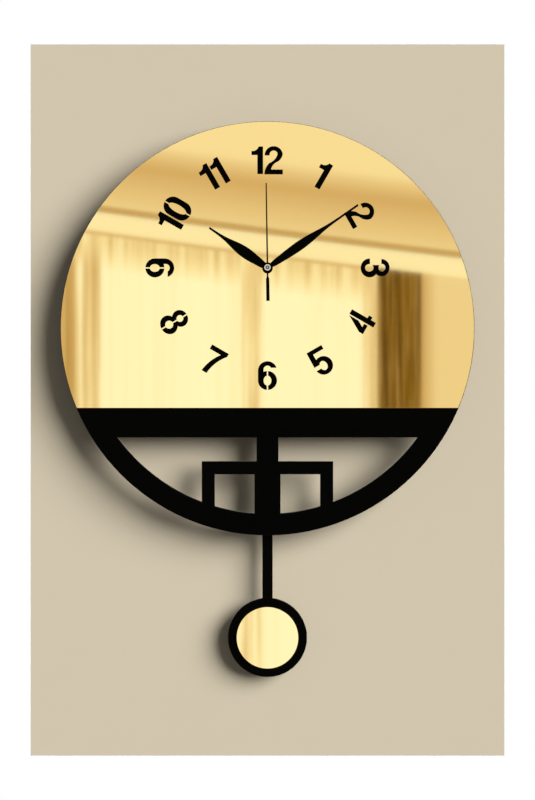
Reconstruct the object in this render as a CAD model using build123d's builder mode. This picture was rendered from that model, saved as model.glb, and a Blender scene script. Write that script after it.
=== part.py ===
"""Pendulum wall clock: a round black fretwork board faced with a gold mirror sheet, a quartz
pendulum movement behind it, three hands, and a rod with a mirrored bob that swings below.

Frame: millimetres, +Z up, the clock faces -Y. The origin is the round entry of the hanger's
keyhole, on the wall plane Y = 0, where the head of the wall screw goes in.
"Depth" is the distance from the wall towards the viewer, so a depth d lies at Y = -d.
Heights of the dial are measured from the disc's centre, and heights of the movement from
the hand axis.
"""

from build123d import *
from math import acos, cos, pi, radians, sin, tan
import os

os.makedirs("parts", exist_ok=True)

# ---------------------------------------------------------------- driving dimensions
disc_r = 152.5                      # the board, 305 mm (12 in) across
axis_above_disc = 44.4              # hand axis above the disc's centre
hanger_above_axis = 37.0            # keyhole entry above the hand axis

axis_z = -hanger_above_axis
disc_z = axis_z - axis_above_disc

# fretwork of the board, heights from the disc's centre
board_t = 4.0
ring_w = 15.9                       # rim left round the windows
mirror_foot = -58.6                 # straight lower edge of the mirror sheet
bar_foot = -80.3                    # lower edge of the cross bar
neck_w = 16.1                       # centre column, upper part
column_w = 19.2                     # centre column, lower part
arch_top = -97.9
arch_half_w = 48.4
arch_bar = 9.6                      # width of the arch's bars
sheet_t = 2.0                       # mirror sheet
mirror_inset = 0.5                  # the mirror stops this far inside the board's edge
board_ease, mirror_ease = 0.25, 0.12    # chamfers that take the sharpness off the sheets' edges

# numerals
dial_r = 79.2                       # ring through the middles of the numerals
stencil_gap = 0.95                  # bridges that hold the islands of 0, 4, 6, 8 and 9

# movement box, heights from the hand axis
case_w = 56.0
case_top = 28.0
case_foot = -76.0
wall_t = 1.5
case_depth = 17.0
cover_t = 1.5
battery_shelf = -9.4                # top of the wall over the battery bay
drive_ceiling = -26.6               # top of the pendulum bay

# stack in front of the movement
bracket_t = 1.0
gasket_t = 0.5
bracket_back = case_depth
gasket_back = bracket_back + bracket_t
board_back = gasket_back + gasket_t
board_front = board_back + board_t
mirror_front = board_front + sheet_t
nut_pocket, nut_pocket_r = 2.4, 6.8     # counterbore in the board that hides the fixing nut
nut_t = 1.8
fixing_washer_t = 0.4
bush_r = 3.9
bush_head_r, bush_head_t = 5.4, 0.8
bush_play = 0.1                     # round the bush in the parts that it clamps

# coaxial tubes of the hands
hour_pipe_r, hour_bore_r = 2.55, 1.75
minute_pipe_r, minute_bore_r = 1.65, 0.6
arbor_r = 0.5
pipe_clearance = 0.65               # round the hour pipe in the mirror sheet
hub_r = 3.9
spigot_hour_r, spigot_minute_r = 3.0, 2.2   # collet spigots riveted through the blades

# hands, at nine minutes past ten
hour_len, minute_len, second_len, second_tail = 51.9, 81.0, 62.0, 24.0
hour_angle, minute_angle, second_angle = -55.4, 55.2, -0.9
hour_blade_depth = 25.7
minute_blade_depth = 27.9
second_blade_depth = 29.9
blade_t = 0.5
second_blade_t = 0.3
needle_w, needle_tip_w = 1.2, 0.85  # second hand, at its hub and at its tip
tail_w, tail_start, shoulder = 2.45, 6.6, 2.0   # its counterweight, and the taper into it
blade_ease = 0.12                   # bevel round a blade's front edge

# train: distances from the hand axis, and teeth
motion_distance = 9.4
third_distance = 9.2
fifth_distance = 8.0
rotor_distance = 7.0
cannon_teeth, motion_teeth, motion_leaves, hour_teeth = 10, 30, 8, 32
knob_leaves = 10
seconds_leaves, third_teeth, third_leaves, centre_teeth = 8, 60, 8, 64
fifth_leaves, seconds_teeth = 10, 50
rotor_leaves, fifth_teeth = 8, 48

# train: depth of each wheel's rear face, and thicknesses
wheel_t = 0.8
hour_wheel_depth, hour_wheel_t = 14.1, 1.0
cannon_depth, cannon_flange_t = 11.0, 0.35
cannon_leaf_depth, cannon_leaf_t = 12.6, 1.2
centre_depth = 11.4
motion_depth, motion_t, motion_leaf_t = 12.7, 1.0, 1.5
knob_leaf_depth, knob_leaf_t = 12.5, 1.4
seconds_depth, seconds_leaf_depth, seconds_leaf_t = 7.1, 8.5, 1.4
third_depth, third_leaf_depth, third_leaf_t = 8.8, 11.15, 1.2
fifth_depth, fifth_leaf_depth, fifth_leaf_t = 5.5, 6.9, 1.2
rotor_leaf_depth, rotor_leaf_t = 5.2, 1.4
magnet_depth, magnet_t, rotor_magnet_r = 3.1, 1.8, 2.7
bridge_depth, plate_depth, plate_t = 1.9, 10.1, 0.8
arbor_end = 2.0                     # rear ends of the arbors, in the bridge
rotor_arbor_r = 0.4
pivot_play = 0.04                   # round an arbor in its hole

# setting knob
knob_r, knob_depth, knob_t = 5.2, 0.4, 2.0
knob_shaft_r = 1.0
knob_flutes, flute_r = 24, 0.35

# pendulum
pivot_h = -36.0                     # swing axis, from the hand axis
hook_h = -84.0                      # centre of the rod's eye
bob_h = -273.1                      # centre of the bob
bob_r, bob_mirror_r = 29.3, 22.8
rod_w, rod_t = 7.6, 3.0
rod_back = 10.0                     # depth of the rod's rear face
magnet_h = -58.0                    # the arm's magnet and the drive coil
pin_r = 0.75                        # swing pin
pin_boss_r = 2.2
arm_back, arm_t = 6.5, 3.0


def upright(depth, x=0.0, height=0.0):
    """The plane parallel to the wall at a depth, with its origin at x and a height over the hand axis."""
    return Plane(origin=(x, -depth, axis_z + height), x_dir=(1, 0, 0), z_dir=(0, -1, 0))


def hand_plane(depth, angle):
    """A plane parallel to the wall on the hand axis, turned clockwise by an angle from twelve."""
    turn = radians(angle)
    return Plane(origin=(0, -depth, axis_z), x_dir=(cos(turn), 0, -sin(turn)), z_dir=(0, -1, 0))


def disc_plane(depth):
    """The plane parallel to the wall at a depth, with its origin on the disc's centre line."""
    return upright(depth, 0, disc_z - axis_z)


def finish(builder, name):
    builder.part.label = name
    export_step(builder.part, f"parts/{name}.step")


# ---------------------------------------------------------------- numerals
def digit_one():
    """A flagged one: straight stem, and a flag that curves up into its top."""
    with BuildSketch() as digit:
        with BuildLine():
            ThreePointArc((1.0, 10.15), (-0.6, 7.8), (-4.25, 6.9))
            Polyline((-4.25, 6.9), (-4.25, 3.85), (0.05, 3.85), (0.05, -10.15),
                     (4.25, -10.15), (4.25, 10.15), (1.0, 10.15))
        make_face()
    return digit.sketch


def digit_two():
    with BuildSketch() as digit:
        with BuildLine():
            ThreePointArc((-6.6, 3.55), (-0.6, 10.35), (6.75, 4.7))
            ThreePointArc((6.75, 4.7), (5.7, 1.6), (3.1, -1.0))
            ThreePointArc((3.1, -1.0), (-0.3, -3.4), (-1.9, -6.8))
            Polyline((-1.9, -6.8), (6.8, -6.8), (6.8, -10.4), (-6.8, -10.4))
            ThreePointArc((-6.8, -10.4), (-5.7, -5.5), (-3.05, -1.95))
            ThreePointArc((-3.05, -1.95), (1.3, 1.3), (2.95, 4.7))
            ThreePointArc((2.95, 4.7), (0.05, 7.15), (-2.85, 3.55))
            Line((-2.85, 3.55), (-6.6, 3.55))
        make_face()
    return digit.sketch


def digit_three():
    """Two bowls, open on the left between their ends."""
    with BuildSketch() as digit:
        with Locations((-0.2, 4.7)):
            Ellipse(6.35, 5.95)
        with Locations((0, -4.1)):
            Ellipse(6.95, 6.55)
        with Locations((-0.2, 5.0)):
            Ellipse(2.8, 2.5, mode=Mode.SUBTRACT)
        with Locations((-0.1, -4.3)):
            Ellipse(2.75, 3.1, mode=Mode.SUBTRACT)
        with Locations((-5.1, 0.4)):
            Rectangle(6.0, 8.4, mode=Mode.SUBTRACT)
    return digit.sketch


def digit_four():
    """The bridge runs down the left of the stem."""
    with BuildSketch() as digit:
        with BuildLine():
            Polyline((-7.1, -5.95), (0, -5.95), (0, -2.95), (-2.8, -2.95), (0, 1.9),
                     (0, 9.87), (-7.1, -2.6), close=True)
        make_face()
        with Locations((2.85, 0)):
            Rectangle(3.9, 20.3)
        with Locations((4.0, -4.45)):
            Rectangle(6.2, 3.0)
    return digit.sketch


def digit_five():
    with BuildSketch() as digit:
        with Locations((0, -3.55)):
            Circle(6.85)
        with Locations((-0.1, -3.65)):
            Ellipse(2.75, 3.55, mode=Mode.SUBTRACT)
        with Locations((-4.1, -3.25)):
            Rectangle(8.0, 2.9, mode=Mode.SUBTRACT)
        with BuildLine():
            Polyline((-6.9, -1.8), (-2.85, -1.8), (-2.85, 7.1), (5.95, 7.1), (5.95, 10.35),
                     (-6.6, 10.35), close=True)
        make_face()
    return digit.sketch


def digit_six():
    """An upright slot with a round bowl below and a hook above, bridged through the bowl."""
    with BuildSketch() as hollow:
        with Locations((0, 1.5)):
            SlotOverall(11.6, 5.8, rotation=90)
        with Locations((4.0, 0.9)):
            Rectangle(8.0, 9.7)
        with Locations((0, -3.6)):
            Circle(7.0, mode=Mode.SUBTRACT)
    with BuildSketch() as digit:
        SlotOverall(21.2, 14.0, rotation=90)
        add(hollow.sketch, mode=Mode.SUBTRACT)
        with Locations((0, -3.7)):
            Ellipse(2.85, 3.6, mode=Mode.SUBTRACT)
        with Locations((0, -3.5)):
            Rectangle(stencil_gap, 15.0, mode=Mode.SUBTRACT)
    return digit.sketch


def digit_seven():
    with BuildSketch() as digit:
        with BuildLine():
            ThreePointArc((7.1, 7.6), (2.4, 0.25), (-0.2, -10.15))
            Line((-0.2, -10.15), (-4.45, -10.15))
            ThreePointArc((-4.45, -10.15), (-2.3, -1.45), (2.2, 6.5))
            Polyline((2.2, 6.5), (-7.1, 6.5), (-7.1, 10.15), (7.1, 10.15), (7.1, 7.6))
        make_face()
    return digit.sketch


def digit_eight():
    with BuildSketch() as digit:
        with Locations((0, 4.95)):
            Ellipse(6.3, 5.8)
        with Locations((0, -4.5)):
            Ellipse(7.1, 6.25)
        with Locations((0, 4.85)):
            Circle(2.5, mode=Mode.SUBTRACT)
        with Locations((0, -4.3)):
            Circle(2.95, mode=Mode.SUBTRACT)
        Rectangle(stencil_gap, 24, mode=Mode.SUBTRACT)
    return digit.sketch


def digit_nought():
    with BuildSketch() as digit:
        SlotOverall(21.4, 14.0, rotation=90)
        Ellipse(2.75, 7.3, mode=Mode.SUBTRACT)
        Rectangle(stencil_gap, 24, mode=Mode.SUBTRACT)
    return digit.sketch


one, two, six = digit_one(), digit_two(), digit_six()
numerals = {                        # hour: [(digit, offset across, turn)]
    1: [(one, 0, 0)],
    2: [(two, 0, 0)],
    3: [(digit_three(), 0, 0)],
    4: [(digit_four(), 0, 0)],
    5: [(digit_five(), 0, 0)],
    6: [(six, 0, 0)],
    7: [(digit_seven(), 0, 0)],
    8: [(digit_eight(), 0, 0)],
    9: [(six, 0, 180)],
    10: [(one, -7.6, 0), (digit_nought(), 4.7, 0)],
    11: [(one, -4.6, 0), (one, 4.5, 0)],
    12: [(one, -7.5, 0), (two, 4.5, 0)],
}

# ---------------------------------------------------------------- board and mirror
with BuildSketch() as windows:      # the fretwork openings, from the disc's centre
    Circle(disc_r - ring_w)
    with Locations((0, bar_foot + disc_r)):
        Rectangle(2 * disc_r, 2 * disc_r, mode=Mode.SUBTRACT)
    with Locations((0, -disc_r)):
        Rectangle(neck_w, 2 * disc_r, mode=Mode.SUBTRACT)
    arch_mid = arch_top - arch_bar / 2
    with Locations((0, arch_mid)):
        Rectangle(2 * arch_half_w, arch_bar, mode=Mode.SUBTRACT)
    with Locations((0, arch_top - disc_r / 2)):
        Rectangle(column_w, disc_r, mode=Mode.SUBTRACT)
        for side in (-1, 1):
            with Locations((side * (arch_half_w - arch_bar / 2), 0)):
                Rectangle(arch_bar, disc_r, mode=Mode.SUBTRACT)

with BuildPart() as back_board:
    with BuildSketch(disc_plane(board_back)):
        Circle(disc_r)
        add(windows.sketch, mode=Mode.SUBTRACT)
        with Locations((0, axis_above_disc)):
            Circle(bush_r + bush_play, mode=Mode.SUBTRACT)
    extrude(amount=board_t)
    with BuildSketch(upright(board_front)):
        Circle(nut_pocket_r)
    extrude(amount=-nut_pocket, mode=Mode.SUBTRACT)
    chamfer(back_board.faces().sort_by(Axis.Y)[0].edges(), board_ease)
    chamfer(back_board.faces().sort_by(Axis.Y)[-1].edges(), board_ease)
finish(back_board, "back_board")

with BuildPart() as mirror_face:
    with BuildSketch(disc_plane(board_front)):
        Circle(disc_r - mirror_inset)
        with Locations((0, mirror_foot - disc_r)):
            Rectangle(2 * disc_r, 2 * disc_r, mode=Mode.SUBTRACT)
        with Locations((0, axis_above_disc)):
            Circle(hour_pipe_r + pipe_clearance, mode=Mode.SUBTRACT)
        for hour, digits in numerals.items():
            turn = -30.0 * hour
            facing = turn + 180 if 4 <= hour <= 8 else turn
            middle = Vector(0, dial_r).rotate(Axis.Z, turn) + Vector(0, axis_above_disc)
            for digit, shift, spin in digits:
                place = middle + Vector(shift, 0).rotate(Axis.Z, facing)
                with Locations(place):
                    add(digit, rotation=facing + spin, mode=Mode.SUBTRACT)
    extrude(amount=sheet_t)
    chamfer(mirror_face.faces().sort_by(Axis.Y)[0].outer_wire().edges(), mirror_ease)
finish(mirror_face, "mirror_face")

# ---------------------------------------------------------------- fixings between board and movement
shelf_z = axis_z + case_top + 0.2      # the bracket's shelf clears the top of the case
tab_top = 11.0
leg_foot = axis_z - 9.0
bracket_w = 24.0
with BuildPart() as hanger_bracket:  # strap behind the board, over the case, up the wall
    with BuildSketch(Plane.YZ) as side_view:
        with BuildLine():
            Polyline((-bracket_back, leg_foot), (-bracket_back, shelf_z), (0, shelf_z),
                     (0, tab_top), (-bracket_t, tab_top), (-bracket_t, shelf_z + bracket_t),
                     (-bracket_back - bracket_t, shelf_z + bracket_t),
                     (-bracket_back - bracket_t, leg_foot), close=True)
        make_face()
    extrude(amount=bracket_w / 2, both=True)
    with BuildSketch(Plane.XZ):     # its outline from the front
        with Locations((0, (tab_top + leg_foot) / 2)):
            RectangleRounded(bracket_w, tab_top - leg_foot, 5)
    extrude(amount=case_depth + bracket_t + 1, mode=Mode.INTERSECT)
    with BuildSketch(upright(0, 0, hanger_above_axis)):
        Circle(4.5)                 # entry for the screw head
        with Locations((0, 3.2)):
            SlotOverall(10.4, 4.4, rotation=90)
    extrude(amount=3, mode=Mode.SUBTRACT)
    with BuildSketch(upright(bracket_back - 1)):
        Circle(bush_r + bush_play)
    extrude(amount=5, mode=Mode.SUBTRACT)
finish(hanger_bracket, "hanger_bracket")

with BuildPart() as rubber_gasket:
    with BuildSketch(upright(gasket_back)):
        Circle(8)
        Circle(bush_r + bush_play, mode=Mode.SUBTRACT)
    extrude(amount=gasket_t)
finish(rubber_gasket, "rubber_gasket")

pocket_floor = board_front - nut_pocket
with BuildPart() as fixing_washer:
    with BuildSketch(upright(pocket_floor)):
        Circle(6.3)
        Circle(bush_r + bush_play, mode=Mode.SUBTRACT)
    extrude(amount=fixing_washer_t)
finish(fixing_washer, "fixing_washer")

with BuildPart() as fixing_nut:
    with BuildSketch(upright(pocket_floor + fixing_washer_t)):
        RegularPolygon(5.5, 6, major_radius=False)
        Circle(bush_r, mode=Mode.SUBTRACT)
    extrude(amount=nut_t)
    chamfer(fixing_nut.faces().sort_by(Axis.Y)[0].outer_wire().edges(), 0.3)
finish(fixing_nut, "fixing_nut")

with BuildPart() as threaded_bush:
    with BuildSketch(upright(case_depth - wall_t)):
        Circle(bush_head_r)
    extrude(amount=bush_head_t)
    with BuildSketch(upright(case_depth - wall_t)):
        Circle(bush_r)
    extrude(amount=pocket_floor + fixing_washer_t + nut_t - case_depth + wall_t)
    with BuildSketch(upright(case_depth - wall_t)):
        Circle(hour_pipe_r + 0.05)
    extrude(amount=9, mode=Mode.SUBTRACT)
finish(threaded_bush, "threaded_bush")


# ---------------------------------------------------------------- gears
def tooth_points(teeth, module, phase, addendum, share):
    """Corners of a gear with flat-faced involute teeth. share is a tooth's part of the pitch."""
    pitch_r = teeth * module / 2
    base_r = pitch_r * cos(radians(20))
    root_r, tip_r = pitch_r - 1.2 * module, pitch_r + addendum * module

    def unwound(r):                 # involute function of the pressure angle at radius r
        angle = acos(min(1.0, base_r / max(r, base_r)))
        return tan(angle) - angle

    def half_angle(r):
        return pi * share / teeth + unwound(pitch_r) - unwound(r)

    points = []
    radii = sorted({root_r, max(root_r, base_r), pitch_r, tip_r})
    for tooth in range(teeth):
        middle = radians(phase) + 2 * pi * tooth / teeth
        flank = [(r, half_angle(r)) for r in radii]
        for r, half in flank:
            points.append((r * cos(middle - half), r * sin(middle - half)))
        for r, half in reversed(flank):
            points.append((r * cos(middle + half), r * sin(middle + half)))
    return points


def wheel_face(teeth, module, phase, leaf=False):
    """A gear as a flat face: a wheel, or a pinion with thinner and taller leaves."""
    addendum, share = (0.85, 0.36) if leaf else (0.65, 0.44)
    with BuildSketch() as face:
        with BuildLine():
            Polyline(*tooth_points(teeth, module, phase, addendum, share), close=True)
        make_face()
    return face.sketch


def module_of(distance, teeth, leaves):
    return 2 * distance / (teeth + leaves)


def gap_phase(teeth, phase, leaves, direction):
    """Phase of a pinion whose gap meets the wheel's tooth, in the wheel-to-pinion direction."""
    return direction + 180 - teeth / leaves * (phase - direction) + 180 / leaves


motion_at = (-motion_distance, 0)                       # straight left of the hand axis
knob_direction = 135                                    # from the motion wheel
knob_at = (motion_at[0] + motion_distance * cos(radians(knob_direction)),
           motion_distance * sin(radians(knob_direction)))
third_at = (0, third_distance)
fifth_at = (fifth_distance, 0)
rotor_direction = 60                                    # from the fifth wheel
rotor_at = (fifth_distance + rotor_distance * cos(radians(rotor_direction)),
            rotor_distance * sin(radians(rotor_direction)))

work_module = module_of(motion_distance, motion_teeth, cannon_teeth)
hour_module = module_of(motion_distance, hour_teeth, motion_leaves)
third_module = module_of(third_distance, third_teeth, seconds_leaves)
centre_module = module_of(third_distance, centre_teeth, third_leaves)
seconds_module = module_of(fifth_distance, seconds_teeth, fifth_leaves)
rotor_module = module_of(rotor_distance, fifth_teeth, rotor_leaves)

# hour wheel and its pipe
with BuildPart() as hour_wheel:
    with BuildSketch(upright(hour_wheel_depth)):
        add(wheel_face(hour_teeth, hour_module, 180))
    extrude(amount=hour_wheel_t)
    with BuildSketch(upright(hour_wheel_depth)):
        Circle(hour_pipe_r)
    extrude(amount=hour_blade_depth + blade_t - hour_wheel_depth)
    with BuildSketch(upright(hour_wheel_depth)):
        Circle(hour_bore_r)
    extrude(amount=mirror_front, mode=Mode.SUBTRACT)
finish(hour_wheel, "hour_wheel")

# cannon pinion: flange, friction seat, leaves and the long minute pipe
with BuildPart() as cannon_pinion:
    with BuildSketch(upright(cannon_depth)):
        Circle(2.4)
    extrude(amount=cannon_flange_t)
    with BuildSketch(upright(cannon_depth)):
        Circle(minute_pipe_r)
    extrude(amount=minute_blade_depth + blade_t - cannon_depth)
    with BuildSketch(upright(cannon_leaf_depth)):
        add(wheel_face(cannon_teeth, work_module,
                       gap_phase(motion_teeth, 0, cannon_teeth, 0), leaf=True))
    extrude(amount=cannon_leaf_t)
    with BuildSketch(upright(cannon_depth)):
        Circle(minute_bore_r)
    extrude(amount=minute_blade_depth, mode=Mode.SUBTRACT)
finish(cannon_pinion, "cannon_pinion")

with BuildPart() as centre_wheel:
    with BuildSketch(upright(centre_depth)):
        add(wheel_face(centre_teeth, centre_module, 90))
        Circle(minute_pipe_r + pivot_play, mode=Mode.SUBTRACT)
        with PolarLocations(5.0, 5):                    # lightening holes
            Circle(1.3, mode=Mode.SUBTRACT)
    extrude(amount=wheel_t)
finish(centre_wheel, "centre_wheel")

with BuildPart() as motion_wheel:
    with BuildSketch(upright(motion_depth, *motion_at)):
        add(wheel_face(motion_teeth, work_module, 0))
    extrude(amount=motion_t)
    with BuildSketch(upright(motion_depth + motion_t, *motion_at)):
        add(wheel_face(motion_leaves, hour_module,
                       gap_phase(hour_teeth, 180, motion_leaves, 180), leaf=True))
    extrude(amount=motion_leaf_t)
    with BuildSketch(upright(plate_depth + plate_t + 0.2, *motion_at)):
        Circle(arbor_r)
    extrude(amount=5.2)
finish(motion_wheel, "motion_wheel")

with BuildPart() as setting_knob:    # pinion, shaft and the knob at the back
    with BuildSketch(upright(knob_leaf_depth, *knob_at)):
        add(wheel_face(knob_leaves, work_module,
                       gap_phase(motion_teeth, 0, knob_leaves, knob_direction), leaf=True))
    extrude(amount=knob_leaf_t)
    with BuildSketch(upright(knob_depth + knob_t, *knob_at)):
        Circle(knob_shaft_r)
    extrude(amount=13.8)
    with BuildSketch(upright(knob_depth, *knob_at)):
        Circle(knob_r)
        with PolarLocations(knob_r + 0.1, knob_flutes):
            Circle(flute_r, mode=Mode.SUBTRACT)
    extrude(amount=knob_t)
    with BuildSketch(upright(knob_depth, *knob_at)):
        SlotOverall(7.5, 1.2)
    extrude(amount=0.7, mode=Mode.SUBTRACT)
finish(setting_knob, "setting_knob")

with BuildPart() as seconds_arbor:
    with BuildSketch(upright(arbor_end)):
        Circle(arbor_r)
    extrude(amount=second_blade_depth + second_blade_t + 0.7 - arbor_end)
finish(seconds_arbor, "seconds_arbor")

with BuildPart() as seconds_wheel:
    with BuildSketch(upright(seconds_depth)):
        add(wheel_face(seconds_teeth, seconds_module, 0))
    extrude(amount=wheel_t)
    with BuildSketch(upright(seconds_depth + wheel_t)):
        Circle(0.75)
    extrude(amount=seconds_leaf_depth - seconds_depth - wheel_t)
    with BuildSketch(upright(seconds_leaf_depth)):
        add(wheel_face(seconds_leaves, third_module,
                       gap_phase(third_teeth, 270, seconds_leaves, 270), leaf=True))
    extrude(amount=seconds_leaf_t)
    with BuildSketch(upright(seconds_depth)):
        Circle(arbor_r)
    extrude(amount=3, mode=Mode.SUBTRACT)
finish(seconds_wheel, "seconds_wheel")

with BuildPart() as third_wheel:
    with BuildSketch(upright(third_depth, *third_at)):
        add(wheel_face(third_teeth, third_module, 270))
    extrude(amount=wheel_t)
    with BuildSketch(upright(third_leaf_depth, *third_at)):
        add(wheel_face(third_leaves, centre_module,
                       gap_phase(centre_teeth, 90, third_leaves, 90), leaf=True))
    extrude(amount=third_leaf_t)
    with BuildSketch(upright(arbor_end, *third_at)):
        Circle(arbor_r)
    extrude(amount=14.2)
finish(third_wheel, "third_wheel")

with BuildPart() as fifth_wheel:
    with BuildSketch(upright(fifth_depth, *fifth_at)):
        add(wheel_face(fifth_teeth, rotor_module, rotor_direction))
    extrude(amount=wheel_t)
    with BuildSketch(upright(fifth_leaf_depth, *fifth_at)):
        add(wheel_face(fifth_leaves, seconds_module,
                       gap_phase(seconds_teeth, 0, fifth_leaves, 0), leaf=True))
    extrude(amount=fifth_leaf_t)
    with BuildSketch(upright(arbor_end, *fifth_at)):
        Circle(arbor_r)
    extrude(amount=plate_depth + 0.6 - arbor_end)
finish(fifth_wheel, "fifth_wheel")

with BuildPart() as rotor_pinion:
    with BuildSketch(upright(rotor_leaf_depth, *rotor_at)):
        add(wheel_face(rotor_leaves, rotor_module,
                       gap_phase(fifth_teeth, rotor_direction, rotor_leaves, rotor_direction),
                       leaf=True))
    extrude(amount=rotor_leaf_t)
    with BuildSketch(upright(arbor_end, *rotor_at)):
        Circle(rotor_arbor_r)
    extrude(amount=plate_depth + 0.6 - arbor_end)
finish(rotor_pinion, "rotor_pinion")

with BuildPart() as rotor_magnet:
    with BuildSketch(upright(magnet_depth, *rotor_at)):
        Circle(rotor_magnet_r)
        Circle(rotor_arbor_r, mode=Mode.SUBTRACT)
    extrude(amount=magnet_t)
finish(rotor_magnet, "rotor_magnet")

# ---------------------------------------------------------------- plates of the train
screw_spots = [(x, z) for x in (-24.6, 24.6) for z in (24.6, -72.6)]
post_r = 2.2                         # posts that take the cover's screws
arbor_hole_r, rotor_hole_r = arbor_r + pivot_play, rotor_arbor_r + pivot_play
pillars = [(-20.0, 18.0), (19.5, -5.5), (-20.0, -5.0)]
pillar_r = 1.6

with BuildPart() as middle_plate:    # with three pillars that carry the bridge
    with BuildSketch(upright(plate_depth)):
        with Locations((0, 8.3)):
            RectangleRounded(52.4, 34.6, 2)
        with Locations(*screw_spots):
            Circle(post_r + 0.2, mode=Mode.SUBTRACT)
        Circle(0.65, mode=Mode.SUBTRACT)
        with Locations(third_at):
            Circle(1.7, mode=Mode.SUBTRACT)             # the third pinion passes here
        with Locations(knob_at):
            Circle(knob_shaft_r + 0.1, mode=Mode.SUBTRACT)
        with Locations(fifth_at):
            Circle(arbor_hole_r, mode=Mode.SUBTRACT)
        with Locations(rotor_at):
            Circle(rotor_hole_r, mode=Mode.SUBTRACT)
    extrude(amount=plate_t)
    with BuildSketch(upright(bridge_depth + plate_t)):
        with Locations(*pillars):
            Circle(pillar_r)
    extrude(amount=plate_depth - bridge_depth - plate_t)
finish(middle_plate, "middle_plate")

with BuildPart() as train_bridge:
    with BuildSketch(upright(bridge_depth)):
        with BuildLine():
            Polyline((-23, -8), (22.5, -8), (22.5, 10), (15, 13), (-15, 13.5), (-18, 21),
                     (-23, 21), close=True)
        make_face()
        with Locations(knob_at):
            Circle(knob_r + 0.4, mode=Mode.SUBTRACT)
        with Locations((0, 0), third_at, fifth_at):
            Circle(arbor_hole_r, mode=Mode.SUBTRACT)
        with Locations(rotor_at):
            Circle(rotor_hole_r, mode=Mode.SUBTRACT)
    extrude(amount=plate_t)
finish(train_bridge, "train_bridge")

# ---------------------------------------------------------------- stepping motor and electronics
core_h = 21.5                        # the coil's axis, over the hand axis
coil_span = (3.5, 21.0)
leg_w, lamination_t, stator_depth = 3.0, 0.8, 3.6
coil_len, cheek_t = 13.0, 0.8
core_w, core_t = 5.0, 2.4            # the bobbin's tube
board_depth, circuit_t = 4.2, 0.8
with BuildPart() as stator:          # two legs round the rotor, joined by the coil's core
    with BuildSketch(upright(stator_depth)):
        with Locations(rotor_at):
            Rectangle(12, 8.4)
        for x in coil_span:
            with Locations((x, 12.9)):
                Rectangle(leg_w, 20.4)
        with Locations(((coil_span[0] + coil_span[1]) / 2, rotor_at[1])):
            Rectangle(coil_span[1] - coil_span[0], 4.0)
        with Locations(rotor_at):
            Circle(rotor_magnet_r + 0.4, mode=Mode.SUBTRACT)
        with Locations((coil_span[1], 4.6)):
            Rectangle(leg_w, 4.0, mode=Mode.SUBTRACT)
    extrude(amount=lamination_t)
    with BuildSketch(upright(stator_depth + lamination_t)):
        with Locations(((coil_span[0] + coil_span[1]) / 2, core_h)):
            Rectangle(coil_span[1] - coil_span[0] + leg_w, leg_w)
    extrude(amount=lamination_t)
finish(stator, "stator")

coil_mid = (coil_span[0] + coil_span[1]) / 2
coil_depth = stator_depth + 1.5 * lamination_t
coil_plane = Plane(origin=(coil_mid - coil_len / 2, -coil_depth, axis_z + core_h),
                   x_dir=(0, 0, 1), z_dir=(1, 0, 0))
with BuildPart() as motor_bobbin:
    with BuildSketch(coil_plane):
        Rectangle(core_w, core_t)
    extrude(amount=coil_len)
    with BuildSketch(coil_plane, coil_plane.offset(coil_len - cheek_t)):
        RectangleRounded(7.6, 5.2, 1)
    extrude(amount=cheek_t)
    with BuildSketch(coil_plane):
        Rectangle(leg_w + 0.02, lamination_t + 0.02)
    extrude(amount=coil_len, mode=Mode.SUBTRACT)
finish(motor_bobbin, "motor_bobbin")

with BuildPart() as motor_coil:
    with BuildSketch(coil_plane.offset(cheek_t)):
        RectangleRounded(7.0, 4.6, 1.6)
        Rectangle(core_w, core_t, mode=Mode.SUBTRACT)
    extrude(amount=coil_len - 2 * cheek_t)
finish(motor_coil, "motor_coil")

with BuildPart() as circuit_board:
    with BuildSketch(upright(board_depth)):
        with Locations((-11.7, 19.4)):
            Rectangle(21, 10)
        with Locations(pillars[0]):
            Circle(pillar_r + 0.1, mode=Mode.SUBTRACT)
    extrude(amount=circuit_t)
finish(circuit_board, "circuit_board")

with BuildPart() as driver_chip:     # epoxy blob over the bonded chip
    with BuildSketch(Plane(origin=(-5.5, -board_depth, axis_z + 18.6), x_dir=(1, 0, 0),
                           z_dir=(0, 1, 0))):
        Circle(2.6)
    extrude(amount=0.9, taper=35)
finish(driver_chip, "driver_chip")

with BuildPart() as quartz_crystal:
    with BuildSketch(Plane(origin=(-12.5, -3.1, axis_z + 16), x_dir=(1, 0, 0), z_dir=(0, 0, 1))):
        Circle(1.05)
    extrude(amount=6)
    fillet(quartz_crystal.edges().group_by(Axis.Z)[-1], 0.4)
finish(quartz_crystal, "quartz_crystal")

# ---------------------------------------------------------------- case and cover
case_mid = (case_top + case_foot) / 2
case_h = case_top - case_foot
knob_well_r = 6.2
battery_r, battery_len = 7.15, 50.5
battery_h = -18.2
battery_depth = 8.2
button_r, button_len = 2.75, 1.2
slot_half = 12.5                     # sweep of the pendulum arm at the foot of the case
case_inside = case_depth - cover_t   # from the cover's front to the case's front
blind_depth, blind_len = 15.3, 1.1   # blind pivots in the front wall
screw_r, screw_head_r = 0.8, 1.9
head_back, head_seat = 0.1, 0.9      # depths of a screw head's rear face and of its seat
hatch_w, hatch_h = 52.0, 14.6
engraving, label_sink = 0.3, 0.2     # how deep the cover's marks and its label panel are
sign_size, sign_w = 4.6, 1.0
turn_ring_r, turn_ring_w = 8.6, 0.8  # double arrow under the knob

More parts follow.
